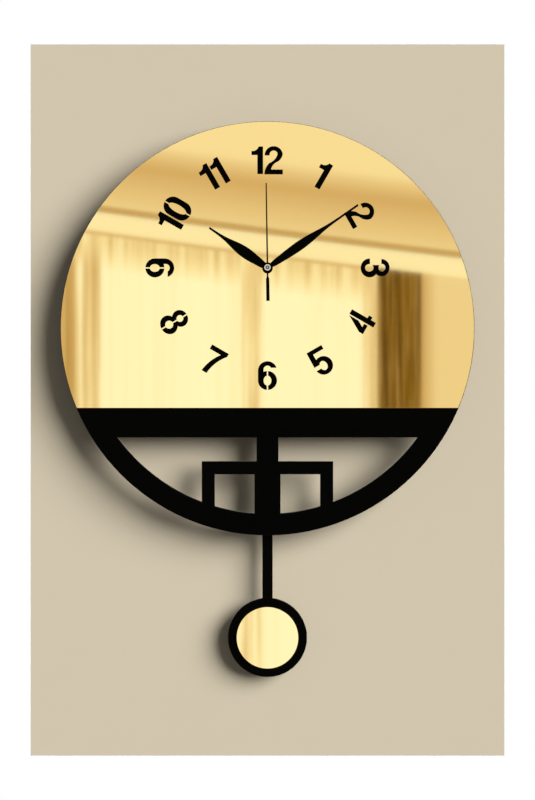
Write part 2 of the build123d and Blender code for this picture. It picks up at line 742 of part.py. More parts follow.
with BuildPart() as movement_case:
    with BuildSketch(upright(cover_t, 0, case_mid)):
        RectangleRounded(case_w, case_h, 3)
    extrude(amount=case_inside)
    with BuildSketch(upright(cover_t, 0, case_mid)):
        RectangleRounded(case_w - 2 * wall_t, case_h - 2 * wall_t, 1.8)
    extrude(amount=case_inside - wall_t, mode=Mode.SUBTRACT)
    with BuildSketch(upright(cover_t)):                 # walls between the three bays
        for shelf in (battery_shelf - 0.5, drive_ceiling - 0.5):
            with Locations((0, shelf)):
                Rectangle(case_w - wall_t, 1.0)
    extrude(amount=case_inside - wall_t / 2)
    with BuildSketch(upright(cover_t)):                 # screw posts
        with Locations(*screw_spots):
            Circle(post_r)
    extrude(amount=case_inside - wall_t / 2)
    with BuildSketch(upright(cover_t)):
        with Locations(*screw_spots):
            Circle(screw_r)
    extrude(amount=8.5, mode=Mode.SUBTRACT)
    with BuildSketch(upright(11.5, 0, pivot_h)):        # boss for the pendulum's pin
        Circle(pin_boss_r)
    extrude(amount=4.6)
    with BuildSketch(upright(11.4, 0, pivot_h)):
        Circle(pin_r)
    extrude(amount=4.2, mode=Mode.SUBTRACT)
    with BuildSketch(upright(blind_depth)):
        with Locations(motion_at, third_at):
            Circle(arbor_hole_r)
        with Locations(knob_at):
            Circle(knob_shaft_r + 0.05)
    extrude(amount=blind_len, mode=Mode.SUBTRACT)
    with BuildSketch(upright(blind_depth)):             # seat of the bush's head
        Circle(bush_head_r)
    extrude(amount=case_depth - wall_t + bush_head_t - blind_depth, mode=Mode.SUBTRACT)
    with BuildSketch(upright(blind_depth)):
        Circle(bush_r)
    extrude(amount=2 * wall_t, mode=Mode.SUBTRACT)
    with BuildSketch(upright(arm_back - 1.5, 0, case_foot)):    # slot for the swinging arm
        Rectangle(2 * slot_half, 4)
    extrude(amount=2 * arm_t, mode=Mode.SUBTRACT)
    rim = movement_case.faces().sort_by(Axis.Y)[0].outer_wire().edges()
    fillet(rim, 0.8)
finish(movement_case, "movement_case")

with BuildPart() as movement_cover:
    with BuildSketch(upright(0, 0, case_mid)):
        RectangleRounded(case_w, case_h, 3)
        with Locations((knob_at[0], knob_at[1] - case_mid)):
            Circle(knob_well_r, mode=Mode.SUBTRACT)
        with Locations((0, battery_h - case_mid)):      # battery hatch
            RectangleRounded(hatch_w, hatch_h, 1.5, mode=Mode.SUBTRACT)
        with Locations(*[(x, z - case_mid) for x, z in screw_spots]):
            Circle(screw_r + 0.3, mode=Mode.SUBTRACT)
    extrude(amount=cover_t)
    with BuildSketch(upright(0)):
        with Locations(*screw_spots):
            Circle(screw_head_r + 0.2)
    extrude(amount=head_seat, mode=Mode.SUBTRACT)
    with BuildSketch(upright(cover_t, 0, pivot_h)):     # boss for the pendulum's pin
        Circle(pin_boss_r)
    extrude(amount=2.6)
    with BuildSketch(upright(1.0, 0, pivot_h)):
        Circle(pin_r)
    extrude(amount=4, mode=Mode.SUBTRACT)
    with BuildSketch(upright(0, -20, 19)):              # pair of vent slots over the motor
        with GridLocations(0, 3.2, 1, 2):
            SlotOverall(9, 1.2)
    extrude(amount=cover_t, mode=Mode.SUBTRACT)
    with BuildSketch(upright(0, 0, battery_h + hatch_h / 2 + 3.5)):
        with Locations((21.5, 0)):                      # plus
            Rectangle(sign_w, sign_size)
        with Locations((21.5, 0), (-21.5, 0)):          # bar of the plus, and minus
            Rectangle(sign_size, sign_w)
    extrude(amount=engraving, mode=Mode.SUBTRACT)
    with BuildSketch(upright(0, *knob_at)):
        Circle(turn_ring_r)
        Circle(turn_ring_r - turn_ring_w, mode=Mode.SUBTRACT)
        with Locations((0, turn_ring_r)):
            Rectangle(2 * turn_ring_r, 2 * turn_ring_r, mode=Mode.SUBTRACT)
        with Locations((turn_ring_r - turn_ring_w / 2, 0.8), (turn_ring_w / 2 - turn_ring_r, 0.8)):
            RegularPolygon(1.6, 3, rotation=90)
    extrude(amount=engraving, mode=Mode.SUBTRACT)
    with BuildSketch(upright(0, 0, -53)):
        RectangleRounded(44, 28, 2)
    extrude(amount=label_sink, mode=Mode.SUBTRACT)
    chamfer(movement_cover.faces().sort_by(Axis.Y)[-1].outer_wire().edges(), 0.4)
finish(movement_cover, "movement_cover")

with BuildPart() as cover_screws:
    with BuildSketch(upright(head_back)):
        with Locations(*screw_spots):
            Circle(screw_head_r)
    extrude(amount=head_seat - head_back)
    with BuildSketch(upright(head_seat)):
        with Locations(*screw_spots):
            Circle(screw_r)
    extrude(amount=7.6)
    for across, along in ((2.4, 0.5), (0.5, 2.4)):      # cross recess
        with BuildSketch(upright(head_back)):
            with Locations(*screw_spots):
                Rectangle(across, along)
        extrude(amount=0.5, mode=Mode.SUBTRACT)
finish(cover_screws, "cover_screws")

# ---------------------------------------------------------------- battery and contacts
battery_plane = Plane(origin=(-battery_len / 2, -battery_depth, axis_z + battery_h),
                      x_dir=(0, 0, 1), z_dir=(1, 0, 0))
with BuildPart() as battery:
    with BuildSketch(battery_plane):
        Circle(battery_r)
    extrude(amount=battery_len - button_len)
    fillet(battery.edges().filter_by(GeomType.CIRCLE), 0.6)
    with BuildSketch(battery_plane.offset(battery_len - button_len)):
        Circle(button_r)
    extrude(amount=button_len)
finish(battery, "battery")

strip_t = 0.3
bump_x = battery_len / 2 + strip_t / 2          # the strip's middle where it meets the cell
strip_x = case_w / 2 - wall_t - strip_t / 2     # and where it lies on the end wall
for sign, name in ((1, "battery_contact_positive"), (-1, "battery_contact_negative")):
    with BuildPart() as contact:     # a bent strip between the cell and the end wall
        with BuildSketch(upright(2.5, 0, battery_h)):
            for end in (-1, 1):
                with BuildLine():
                    Polyline((sign * strip_x, end * 6.8), (sign * strip_x, end * 3.0),
                             (sign * bump_x, end * 2.4), (sign * bump_x, 0))
                    offset(amount=strip_t / 2)
                make_face()
        extrude(amount=11.0)
    finish(contact, name)

# ---------------------------------------------------------------- pendulum and its drive
with BuildPart() as pendulum_pin:
    with BuildSketch(upright(1.2, 0, pivot_h)):
        Circle(pin_r)
    extrude(amount=14.2)
finish(pendulum_pin, "pendulum_pin")

drive_back, flange_t, tube_r = 12.4, 0.6, 2.6
coil_t = 1.9
with BuildPart() as drive_bobbin:
    with BuildSketch(upright(drive_back, 0, magnet_h)):
        Circle(8.5)
    extrude(amount=flange_t)
    with BuildSketch(upright(drive_back + flange_t + coil_t, 0, magnet_h)):
        Circle(8.5)
    extrude(amount=flange_t)
    with BuildSketch(upright(drive_back, 0, magnet_h)):
        Circle(tube_r)
    extrude(amount=2 * flange_t + coil_t)
    with BuildSketch(upright(drive_back, 0, magnet_h)):
        Circle(1.5)
    extrude(amount=2 * flange_t + coil_t, mode=Mode.SUBTRACT)
finish(drive_bobbin, "drive_bobbin")

with BuildPart() as drive_coil:
    with BuildSketch(upright(drive_back + flange_t, 0, magnet_h)):
        Circle(7.8)
        Circle(tube_r, mode=Mode.SUBTRACT)
    extrude(amount=coil_t)
finish(drive_coil, "drive_coil")

with BuildPart() as drive_board:     # small circuit board that pulses the drive coil
    with BuildSketch(upright(14.3, 0, magnet_h)):
        with Locations((19.5, 2)):
            Rectangle(11, 20)
    extrude(amount=1.2)
finish(drive_board, "drive_board")

arm_w = 6.0
arm_hub_back, arm_hub_len = 4.3, 6.9
eye_r, peg_r = 2.2, 1.1
with BuildPart() as pendulum_arm:    # lever on the pin, with the hook at its foot
    with BuildSketch(upright(arm_back, 0, pivot_h)):
        Circle(3.4)
        with Locations((0, (magnet_h - pivot_h) / 2)):
            Rectangle(arm_w, pivot_h - magnet_h)
        with Locations((0, magnet_h - pivot_h)):
            Circle(5.2)
        with Locations((0, (magnet_h + hook_h) / 2 - pivot_h)):
            Rectangle(arm_w, magnet_h - hook_h)
        with Locations((0, hook_h - pivot_h)):
            Circle(arm_w / 2)
    extrude(amount=arm_t)
    with BuildSketch(upright(arm_hub_back, 0, pivot_h)):
        Circle(2.4)
    extrude(amount=arm_hub_len)
    with BuildSketch(upright(arm_hub_back, 0, pivot_h)):
        Circle(pin_r + 0.05)
    extrude(amount=arm_hub_len, mode=Mode.SUBTRACT)
    with BuildSketch(upright(arm_back + arm_t, 0, hook_h + eye_r - peg_r)):
        Circle(peg_r)               # the hook: a peg through the rod's eye, turned up at its end
    extrude(amount=5.3)
    with BuildSketch(upright(13.4, 0, hook_h + eye_r - peg_r)):
        SlotCenterToCenter(4.4, 2 * peg_r, rotation=90)
    extrude(amount=1.4)
finish(pendulum_arm, "pendulum_arm")

with BuildPart() as arm_magnet:
    with BuildSketch(upright(arm_back + arm_t, 0, magnet_h)):
        Circle(4.0)
    extrude(amount=2.2)
finish(arm_magnet, "arm_magnet")

with BuildPart() as pendulum_rod:    # rod and bob in one piece
    with BuildSketch(upright(rod_back)):
        with Locations((0, hook_h)):
            Circle(4.6)
        with Locations((0, (hook_h + bob_h) / 2)):
            Rectangle(rod_w, hook_h - bob_h)
        with Locations((0, bob_h)):
            Circle(bob_r)
        with Locations((0, hook_h)):
            Circle(eye_r, mode=Mode.SUBTRACT)
    extrude(amount=rod_t)
    chamfer(pendulum_rod.faces().sort_by(Axis.Y)[0].edges(), board_ease)
    chamfer(pendulum_rod.faces().sort_by(Axis.Y)[-1].edges(), board_ease)
finish(pendulum_rod, "pendulum_rod")

with BuildPart() as bob_mirror:
    with BuildSketch(upright(rod_back + rod_t, 0, bob_h)):
        Circle(bob_mirror_r)
    extrude(amount=sheet_t)
    chamfer(bob_mirror.faces().sort_by(Axis.Y)[0].edges(), mirror_ease)
finish(bob_mirror, "bob_mirror")


# ---------------------------------------------------------------- hands
def blade(outline, length, angle, depth, hole_r):
    """A thin leaf-shaped hand. outline lists (distance along, half width) from hub to tip."""
    with BuildPart() as hand:
        with BuildSketch(hand_plane(depth, angle)):
            with BuildLine():
                Spline(*[(half, along) for along, half in outline],
                       tangents=[(0.35, 1), (0, 1)])
                Line((outline[-1][1], length), (-outline[-1][1], length))
                Spline(*[(-half, along) for along, half in reversed(outline)],
                       tangents=[(0, -1), (0.35, -1)])
                Line((-outline[0][1], outline[0][0]), (outline[0][1], outline[0][0]))
            make_face()
            Circle(hub_r)
            Circle(hole_r, mode=Mode.SUBTRACT)
        extrude(amount=blade_t)
        chamfer(hand.faces().sort_by(Axis.Y)[0].outer_wire().edges(), blade_ease)
    return hand


hour_hand = blade([(2.0, 1.9), (9.0, 3.15), (18.0, 4.0), (28.0, 3.2), (36.5, 1.58), (44.0, 0.84),
                   (hour_len, 0.7)], hour_len, hour_angle, hour_blade_depth, spigot_hour_r)
finish(hour_hand, "hour_hand")

minute_hand = blade([(2.0, 1.0), (12.5, 2.55), (28.0, 3.3), (41.5, 2.4), (52.5, 1.12), (62.0, 0.68),
                     (minute_len, 0.6)], minute_len, minute_angle, minute_blade_depth,
                    spigot_minute_r)
finish(minute_hand, "minute_hand")


def collet(depth, flange_t, bore_r, spigot_r, spigot_t):
    """The metal boss under a hand: a flange, and a spigot riveted through the blade."""
    with BuildPart() as boss:
        with BuildSketch(upright(depth)):
            Circle(hub_r - 0.2)
        extrude(amount=flange_t)
        with BuildSketch(upright(depth)):
            Circle(spigot_r)
        extrude(amount=flange_t + spigot_t)
        with BuildSketch(upright(depth)):
            Circle(bore_r)
        extrude(amount=flange_t + spigot_t, mode=Mode.SUBTRACT)
    return boss


sheet_gap, minute_flange_t, tube_len = 0.3, 1.3, 1.2
hour_collet = collet(mirror_front + sheet_gap, hour_blade_depth - mirror_front - sheet_gap,
                     hour_pipe_r, spigot_hour_r, blade_t)
finish(hour_collet, "hour_collet")
minute_collet = collet(minute_blade_depth - minute_flange_t, minute_flange_t, minute_pipe_r,
                       spigot_minute_r, blade_t)
finish(minute_collet, "minute_collet")

with BuildPart() as second_hand:
    with BuildSketch(hand_plane(second_blade_depth, second_angle)):
        right_side = [(needle_tip_w / 2, second_len), (needle_w / 2, 0),
                      (needle_w / 2, -tail_start), (tail_w / 2, -tail_start - shoulder),
                      (tail_w / 2, -second_tail)]
        left_side = [(-x, y) for x, y in reversed(right_side)]
        with BuildLine():
            Polyline(*right_side, *left_side, close=True)
        make_face()
        Circle(2.3)
        Circle(arbor_r, mode=Mode.SUBTRACT)
    extrude(amount=second_blade_t)
finish(second_hand, "second_hand")

with BuildPart() as second_tube:     # press tube under the second hand
    with BuildSketch(upright(second_blade_depth - tube_len)):
        Circle(0.95)
        Circle(arbor_r, mode=Mode.SUBTRACT)
    extrude(amount=tube_len)
finish(second_tube, "second_tube")

with BuildPart() as second_cap:      # chromed boss at the centre, hollow round the arbor's end
    with BuildSketch(upright(second_blade_depth + second_blade_t)):
        Circle(2.35)
    extrude(amount=1.1)
    fillet(second_cap.faces().sort_by(Axis.Y)[0].edges(), 0.5)
    with BuildSketch(upright(second_blade_depth + second_blade_t)):
        Circle(arbor_r)
    extrude(amount=2, mode=Mode.SUBTRACT)
finish(second_cap, "second_cap")
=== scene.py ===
"""Pendulum wall clock: the finishes of its parts, the small turned pieces that the frame leaves
plain, and the studio that it hangs in.

Laid out as an add-on and run as a script. Lengths are metres, in the frame's own axes: +Z up,
the clock faces -Y, and the wall is at Y = 0.
"""

import math

import bpy
from bpy.props import FloatProperty, FloatVectorProperty, PointerProperty
from bpy.types import Operator, Panel, PropertyGroup
from mathutils import Matrix, Vector


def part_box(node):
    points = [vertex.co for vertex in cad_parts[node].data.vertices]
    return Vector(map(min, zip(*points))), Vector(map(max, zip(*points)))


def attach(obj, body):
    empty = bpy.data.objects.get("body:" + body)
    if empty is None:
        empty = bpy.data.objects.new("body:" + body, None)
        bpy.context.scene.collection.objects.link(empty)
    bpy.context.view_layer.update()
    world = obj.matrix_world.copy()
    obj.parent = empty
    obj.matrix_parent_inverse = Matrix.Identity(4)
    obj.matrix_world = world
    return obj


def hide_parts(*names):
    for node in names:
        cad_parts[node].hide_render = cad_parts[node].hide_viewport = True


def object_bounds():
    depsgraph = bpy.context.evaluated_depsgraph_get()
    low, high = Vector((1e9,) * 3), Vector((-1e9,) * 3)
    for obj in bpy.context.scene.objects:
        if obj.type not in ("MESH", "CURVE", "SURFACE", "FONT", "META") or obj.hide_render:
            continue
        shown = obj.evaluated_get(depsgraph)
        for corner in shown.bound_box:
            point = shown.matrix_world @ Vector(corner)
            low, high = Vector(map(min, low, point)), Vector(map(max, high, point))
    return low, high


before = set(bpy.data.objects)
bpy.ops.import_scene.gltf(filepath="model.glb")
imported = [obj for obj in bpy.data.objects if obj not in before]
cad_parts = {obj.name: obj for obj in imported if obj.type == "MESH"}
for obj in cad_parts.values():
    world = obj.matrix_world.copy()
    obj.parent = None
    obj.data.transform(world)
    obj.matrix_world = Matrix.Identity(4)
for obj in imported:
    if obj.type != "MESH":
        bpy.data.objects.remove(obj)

bl_info = {
    "name": "Pendulum Wall Clock",
    "version": (1, 0, 0),
    "blender": (4, 5, 0),
    "location": "View3D > Sidebar > Wall Clock",
    "description": "Finishes, turned pieces and studio of a mirrored pendulum wall clock",
    "category": "Object",
}

CAD_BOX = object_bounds()
MM = 0.001

# Places that the frame gives
HAND_AXIS = sum(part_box("threaded_bush"), Vector()) / 2
MIDDLE = sum(CAD_BOX, Vector()) / 2
MIRROR_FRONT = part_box("mirror_face")[0].y

# The stage
WALL_BEHIND = 0.5 * MM                  # the wall stands just clear of the clock's rear face
FLOOR_SIZE = 1.6
FLOOR_DROP = 0.75                       # share of the view's height, down from the clock's middle
FLOOR_FADE = 0.35, 0.75                 # solid within the first distance, clear past the second
KEY_FROM = 1.10, -1.0, 0.52             # where each light comes from
REAR_FROM = -0.7, 1.0, 0.6
SENSOR_WIDTH = 36.0
ROOM_RADIUS, ROOM_HEIGHT, ROOM_SIDES = 2.2245, 6.0, 128


# ------------------------------------------------------------------ settings
def colour_setting(label, note, default):
    return FloatVectorProperty(name=label, description=note, default=default, size=3,
                               subtype="COLOR", min=0.0, max=1.0)


def length_setting(label, note, default):
    return FloatProperty(name=label, description=note, default=default, unit="LENGTH",
                         subtype="DISTANCE", min=0.0)


class ClockFinishes(PropertyGroup):
    """Colours and surface sizes of the clock's materials."""

    board: colour_setting("Board", "Black acrylic of the board and the pendulum",
                          (0.0008, 0.0008, 0.0008))
    mirror: colour_setting("Mirror", "Gold film behind the mirrored acrylic", (1.0, 0.935, 0.46))
    mirror_edge: colour_setting("Mirror edge", "Cut edge of the mirrored acrylic",
                                (0.36, 0.25, 0.07))
    hand: colour_setting("Hands", "Satin black paint of the hands", (0.0010, 0.0010, 0.0010))
    case: colour_setting("Case", "Black moulding of the movement", (0.022, 0.022, 0.024))
    acetal: colour_setting("Acetal", "Natural acetal of the wheels", (0.80, 0.78, 0.72))
    brass: colour_setting("Brass", "Turned brass of the bush, nut and collets", (0.78, 0.56, 0.24))
    steel: colour_setting("Steel", "Zinc plated and bright steel", (0.44, 0.45, 0.47))
    copper: colour_setting("Copper", "Enamelled winding wire", (0.60, 0.20, 0.07))
    cell_body: colour_setting("Cell sleeve", "Printed sleeve of the cell", (0.045, 0.12, 0.28))
    cell_band: colour_setting("Cell band", "Band at the positive end of the cell",
                              (0.72, 0.50, 0.16))
    moulding_grain: length_setting("Moulding grain", "Size of the spark-eroded grain",
                                   0.35 * MM)
    edge_radius: length_setting("Edge wear", "How far in from an edge the wear reaches",
                                0.35 * MM)


class ClockStudio(PropertyGroup):
    """Wall, floor, light and camera."""

    wall: colour_setting("Wall", "Paint of the wall panel", (0.70, 0.615, 0.46))
    floor: colour_setting("Floor", "Plain floor", (0.86, 0.85, 0.83))
    wall_width: length_setting("Wall width", "Width of the wall panel", 0.3538)
    wall_height: length_setting("Wall height", "Height of the wall panel", 0.5312)
    view_height: length_setting("View height", "Height that the camera sees at the clock", 0.5885)
    lens: FloatProperty(name="Lens", description="Focal length in millimetres", default=100.0,
                        min=20.0, max=300.0)
    key_power: FloatProperty(name="Key light", description="Strength of the key light",
                             default=3.95, min=0.0)
    rear_power: FloatProperty(name="Rear light", description="Strength of the light behind",
                              default=2.0, min=0.0)
    key_spread: FloatProperty(name="Light spread", description="Angle that each light fills",
                              default=math.radians(42), min=0.0, max=math.pi, unit="ROTATION",
                              subtype="ANGLE")
    fill: FloatProperty(name="Fill", description="Strength of the even light all round",
                        default=0.11, min=0.0)


# ------------------------------------------------------------------ node helpers
def add_node(tree, kind, **settings):
    """A node of the given kind. Settings that name an input set or link it, others set the node."""
    node = tree.nodes.new(kind)
    for key, value in settings.items():
        if key[0].isupper():
            feed(tree, node.inputs[key.replace("_", " ")], value)
        else:
            setattr(node, key, value)
    return node


def feed(tree, socket, value):
    """Link an output to a socket, or set the socket's own value."""
    if isinstance(value, bpy.types.NodeSocket):
        tree.links.new(value, socket)
    elif isinstance(value, (tuple, list, Vector)) or hasattr(value, "__len__"):
        value = tuple(value)
        socket.default_value = value if len(value) == len(socket.default_value) else (*value, 1.0)
    else:
        socket.default_value = value


def combine(tree, operation, first, second=0.0, clamp=False):
    node = tree.nodes.new("ShaderNodeMath")
    node.operation = operation
    node.use_clamp = clamp
    feed(tree, node.inputs[0], first)
    feed(tree, node.inputs[1], second)
    return node.outputs[0]


def spread(tree, value, low, high, to_low=0.0, to_high=1.0):
    """Map a value from one range to another, clamped."""
    node = add_node(tree, "ShaderNodeMapRange", Value=value, From_Min=low, From_Max=high,
                    To_Min=to_low, To_Max=to_high)
    return node.outputs["Result"]


def blend_colour(tree, amount, first, second, mode="MIX"):
    node = tree.nodes.new("ShaderNodeMix")
    node.data_type = "RGBA"
    node.blend_type = mode
    feed(tree, node.inputs["Factor"], amount)
    feed(tree, node.inputs[6], first)
    feed(tree, node.inputs[7], second)
    return node.outputs[2]


def stretched(tree, vector, scale, turn=(0.0, 0.0, 0.0)):
    node = add_node(tree, "ShaderNodeMapping", Vector=vector, Scale=scale, Rotation=turn)
    return node.outputs[0]


def new_group(name, inputs, outputs):
    """A shader node group. Inputs are (name, kind, default), and outputs are (name, kind)."""
    group = bpy.data.node_groups.new(name, "ShaderNodeTree")
    for label, kind, default in inputs:
        socket = group.interface.new_socket(label, in_out="INPUT",
                                            socket_type="NodeSocket" + kind)
        if default is not None:
            socket.default_value = default
    for label, kind in outputs:
        group.interface.new_socket(label, in_out="OUTPUT", socket_type="NodeSocket" + kind)
    entry = group.nodes.new("NodeGroupInput")
    leave = group.nodes.new("NodeGroupOutput")
    return group, entry.outputs, leave.inputs


# ------------------------------------------------------------------ shared effects
def make_edge_wear():
    """Mask of the rubbed edges: where the rounded normal leaves the face's own, broken up by noise."""
    group, given, out = new_group(
        "edge_wear",
        [("Vector", "Vector", None), ("Radius", "Float", 0.0003), ("Breakup Scale", "Float", 900.0),
         ("Amount", "Float", 1.0)],
        [("Mask", "Float")])
    rounded = add_node(group, "ShaderNodeBevel", samples=4, Radius=given["Radius"])
    plain = add_node(group, "ShaderNodeNewGeometry")
    dot = add_node(group, "ShaderNodeVectorMath", operation="DOT_PRODUCT")
    feed(group, dot.inputs[0], rounded.outputs[0])
    feed(group, dot.inputs[1], plain.outputs["Normal"])
    edge = spread(group, dot.outputs["Value"], 0.985, 0.80)
    noise = add_node(group, "ShaderNodeTexNoise", Vector=given["Vector"],
                     Scale=given["Breakup Scale"], Detail=5.0)
    broken = spread(group, noise.outputs["Fac"], 0.38, 0.62)
    worn = combine(group, "MULTIPLY", edge, broken)
    feed(group, out["Mask"], combine(group, "MULTIPLY", worn, given["Amount"], clamp=True))
    return group


def make_tone():
    """Slow and fine drift of a colour and of a finish, as between batches and handling marks."""
    group, given, out = new_group(
        "tone_drift",
        [("Vector", "Vector", None), ("Color", "Color", (0.5, 0.5, 0.5, 1.0)),
         ("Scale", "Float", 40.0), ("Depth", "Float", 0.1)],
        [("Color", "Color"), ("Value", "Float")])
    slow = add_node(group, "ShaderNodeTexNoise", Vector=given["Vector"], Scale=given["Scale"],
                    Detail=3.0, Roughness=0.55)
    fine = add_node(group, "ShaderNodeTexNoise", Vector=given["Vector"],
                    Scale=combine(group, "MULTIPLY", given["Scale"], 17.0), Detail=4.0)
    both = combine(group, "ADD", combine(group, "MULTIPLY", slow.outputs["Fac"], 0.7),
                   combine(group, "MULTIPLY", fine.outputs["Fac"], 0.3))
    swing = spread(group, both, 0.35, 0.65, -1.0, 1.0)
    gain = combine(group, "ADD", combine(group, "MULTIPLY", swing, given["Depth"]), 1.0)
    scaled = add_node(group, "ShaderNodeVectorMath", operation="SCALE", Scale=gain)
    feed(group, scaled.inputs[0], given["Color"])
    feed(group, out["Color"], scaled.outputs[0])
    feed(group, out["Value"], both)
    return group


def make_moulding():
    """Spark-eroded grain of a moulding: fine pits with a coarser roll under them."""
    group, given, out = new_group(
        "moulding_grain",
        [("Vector", "Vector", None), ("Size", "Float", 0.00035)],
        [("Height", "Float")])
    scale = combine(group, "DIVIDE", 1.0, given["Size"])
    pits = add_node(group, "ShaderNodeTexVoronoi", Vector=given["Vector"], Scale=scale,
                    feature="SMOOTH_F1")
    roll = add_node(group, "ShaderNodeTexNoise", Vector=given["Vector"],
                    Scale=combine(group, "MULTIPLY", scale, 0.35), Detail=3.0)
    height = combine(group, "ADD", combine(group, "MULTIPLY", pits.outputs["Distance"], 0.6),
                     combine(group, "MULTIPLY", roll.outputs["Fac"], 0.4))
    feed(group, out["Height"], height)
    return group


def make_brushing():
    """Fine drawn lines along one direction, for metal."""
    group, given, out = new_group(
        "brushed_lines",
        [("Vector", "Vector", None), ("Fineness", "Float", 900.0)],
        [("Value", "Float"), ("Height", "Float")])
    lines = add_node(group, "ShaderNodeTexNoise", Scale=given["Fineness"], Detail=5.0,
                     Vector=stretched(group, given["Vector"], (1.0, 1.0, 0.04)))
    smear = add_node(group, "ShaderNodeTexNoise", Scale=60.0, Detail=2.0, Vector=given["Vector"])
    feed(group, out["Value"], combine(group, "ADD",
                                      combine(group, "MULTIPLY", lines.outputs["Fac"], 0.7),
                                      combine(group, "MULTIPLY", smear.outputs["Fac"], 0.3)))
    feed(group, out["Height"], lines.outputs["Fac"])
    return group


def make_dust():
    """Thin dust on what faces up, and faint wiping smears elsewhere."""
    group, given, out = new_group(
        "dust_and_smears",
        [("Vector", "Vector", None), ("Dust", "Float", 0.3), ("Smears", "Float", 0.1)],
        [("Dust", "Float"), ("Smear", "Float")])
    facing = add_node(group, "ShaderNodeNewGeometry")
    parts = add_node(group, "ShaderNodeSeparateXYZ", Vector=facing.outputs["Normal"])
    up = spread(group, parts.outputs["Z"], 0.35, 0.95)
    specks = add_node(group, "ShaderNodeTexNoise", Vector=given["Vector"], Scale=2600.0,
                      Detail=4.0, Roughness=0.7)
    settled = combine(group, "MULTIPLY", up, spread(group, specks.outputs["Fac"], 0.40, 0.70))
    feed(group, out["Dust"], combine(group, "MULTIPLY", settled, given["Dust"], clamp=True))
    wiped = add_node(group, "ShaderNodeTexNoise", Scale=26.0, Detail=6.0, Roughness=0.62,
                     Vector=stretched(group, given["Vector"], (1.0, 1.0, 2.6), (0.0, 0.7, 0.0)),
                     Distortion=0.8)
    smear = spread(group, wiped.outputs["Fac"], 0.45, 0.75)
    feed(group, out["Smear"], combine(group, "MULTIPLY", smear, given["Smears"], clamp=True))
    return group


EFFECT_MAKERS = {"edge_wear": make_edge_wear, "tone_drift": make_tone,
                 "moulding_grain": make_moulding, "brushed_lines": make_brushing,
                 "dust_and_smears": make_dust}


def effect(tree, name, **values):
    """Place a shared effect in a material, with its own values."""
    node = tree.nodes.new("ShaderNodeGroup")
    node.node_tree = bpy.data.node_groups.get(name) or EFFECT_MAKERS[name]()
    for key, value in values.items():
        feed(tree, node.inputs[key.replace("_", " ")], value)
    return node.outputs


# ------------------------------------------------------------------ materials
def start_material(name):
    """(material, tree, shader, object coordinates) of a new material."""
    material = bpy.data.materials.new(name)
    material.use_nodes = True
    tree = material.node_tree
    place = add_node(tree, "ShaderNodeTexCoord").outputs["Object"]
    return material, tree, tree.nodes["Principled BSDF"], place


def rough(tree, shader, height, distance, strength=1.0):
    bump = add_node(tree, "ShaderNodeBump", Height=height, Distance=distance, Strength=strength)
    feed(tree, shader.inputs["Normal"], bump.outputs[0])


def material_once(maker):
    """The maker's material, made on first use."""
    def get(*values):
        name = "_".join([maker.__name__] + [v for v in values if isinstance(v, str)])
        return bpy.data.materials.get(name) or maker(name, *values)
    return get


@material_once
def black_acrylic(name):
    """Black acrylic: a deep polished front, cut edges with fine lines, and a scuffed back."""
    look = bpy.context.scene.clock_finishes
    material, tree, shader, place = start_material(name)
    facing = add_node(tree, "ShaderNodeNewGeometry").outputs["Normal"]
    parts = add_node(tree, "ShaderNodeSeparateXYZ", Vector=facing)
    back = spread(tree, parts.outputs["Y"], 0.5, 0.9)
    front = spread(tree, parts.outputs["Y"], -0.5, -0.9)
    tone = effect(tree, "tone_drift", Vector=place, Color=look.board, Scale=22.0, Depth=0.25)
    marks = effect(tree, "dust_and_smears", Vector=place, Dust=0.22, Smears=0.55)
    wear = effect(tree, "edge_wear", Vector=place, Radius=look.edge_radius, Amount=0.35)
    deep = blend_colour(tree, front, (0.006, 0.006, 0.006), tone["Color"])
    scuffs = add_node(tree, "ShaderNodeTexNoise", Scale=45.0, Detail=8.0, Roughness=0.7,
                      Vector=stretched(tree, place, (1.0, 1.0, 2.2), (0.0, 0.5, 0.0)))
    scuffed = blend_colour(tree, spread(tree, scuffs.outputs["Fac"], 0.45, 0.75),
                           (0.0085, 0.0085, 0.009), (0.016, 0.0158, 0.0155))
    sided = blend_colour(tree, back, deep, scuffed)
    dusted = blend_colour(tree, marks["Dust"], sided, (0.20, 0.19, 0.17))
    feed(tree, shader.inputs["Base Color"],
         blend_colour(tree, wear["Mask"], dusted, (0.016, 0.016, 0.015)))
    finish = spread(tree, front, 0.0, 1.0, 0.30, 0.36)
    finish = combine(tree, "ADD", finish, combine(tree, "MULTIPLY", marks["Smear"], 0.22))
    feed(tree, shader.inputs["Roughness"],
         combine(tree, "ADD", finish, combine(tree, "MULTIPLY", marks["Dust"], 0.5)))
    shader.inputs["Specular IOR Level"].default_value = 0.015
    feed(tree, shader.inputs["Coat Weight"], spread(tree, front, 0.0, 1.0, 0.3, 0.0))
    shader.inputs["Coat Roughness"].default_value = 0.22
    cut = add_node(tree, "ShaderNodeTexNoise", Scale=1500.0, Detail=3.0,
                   Vector=stretched(tree, place, (1.0, 0.10, 1.0)))
    rough(tree, shader, cut.outputs["Fac"], 0.000015)
    return material


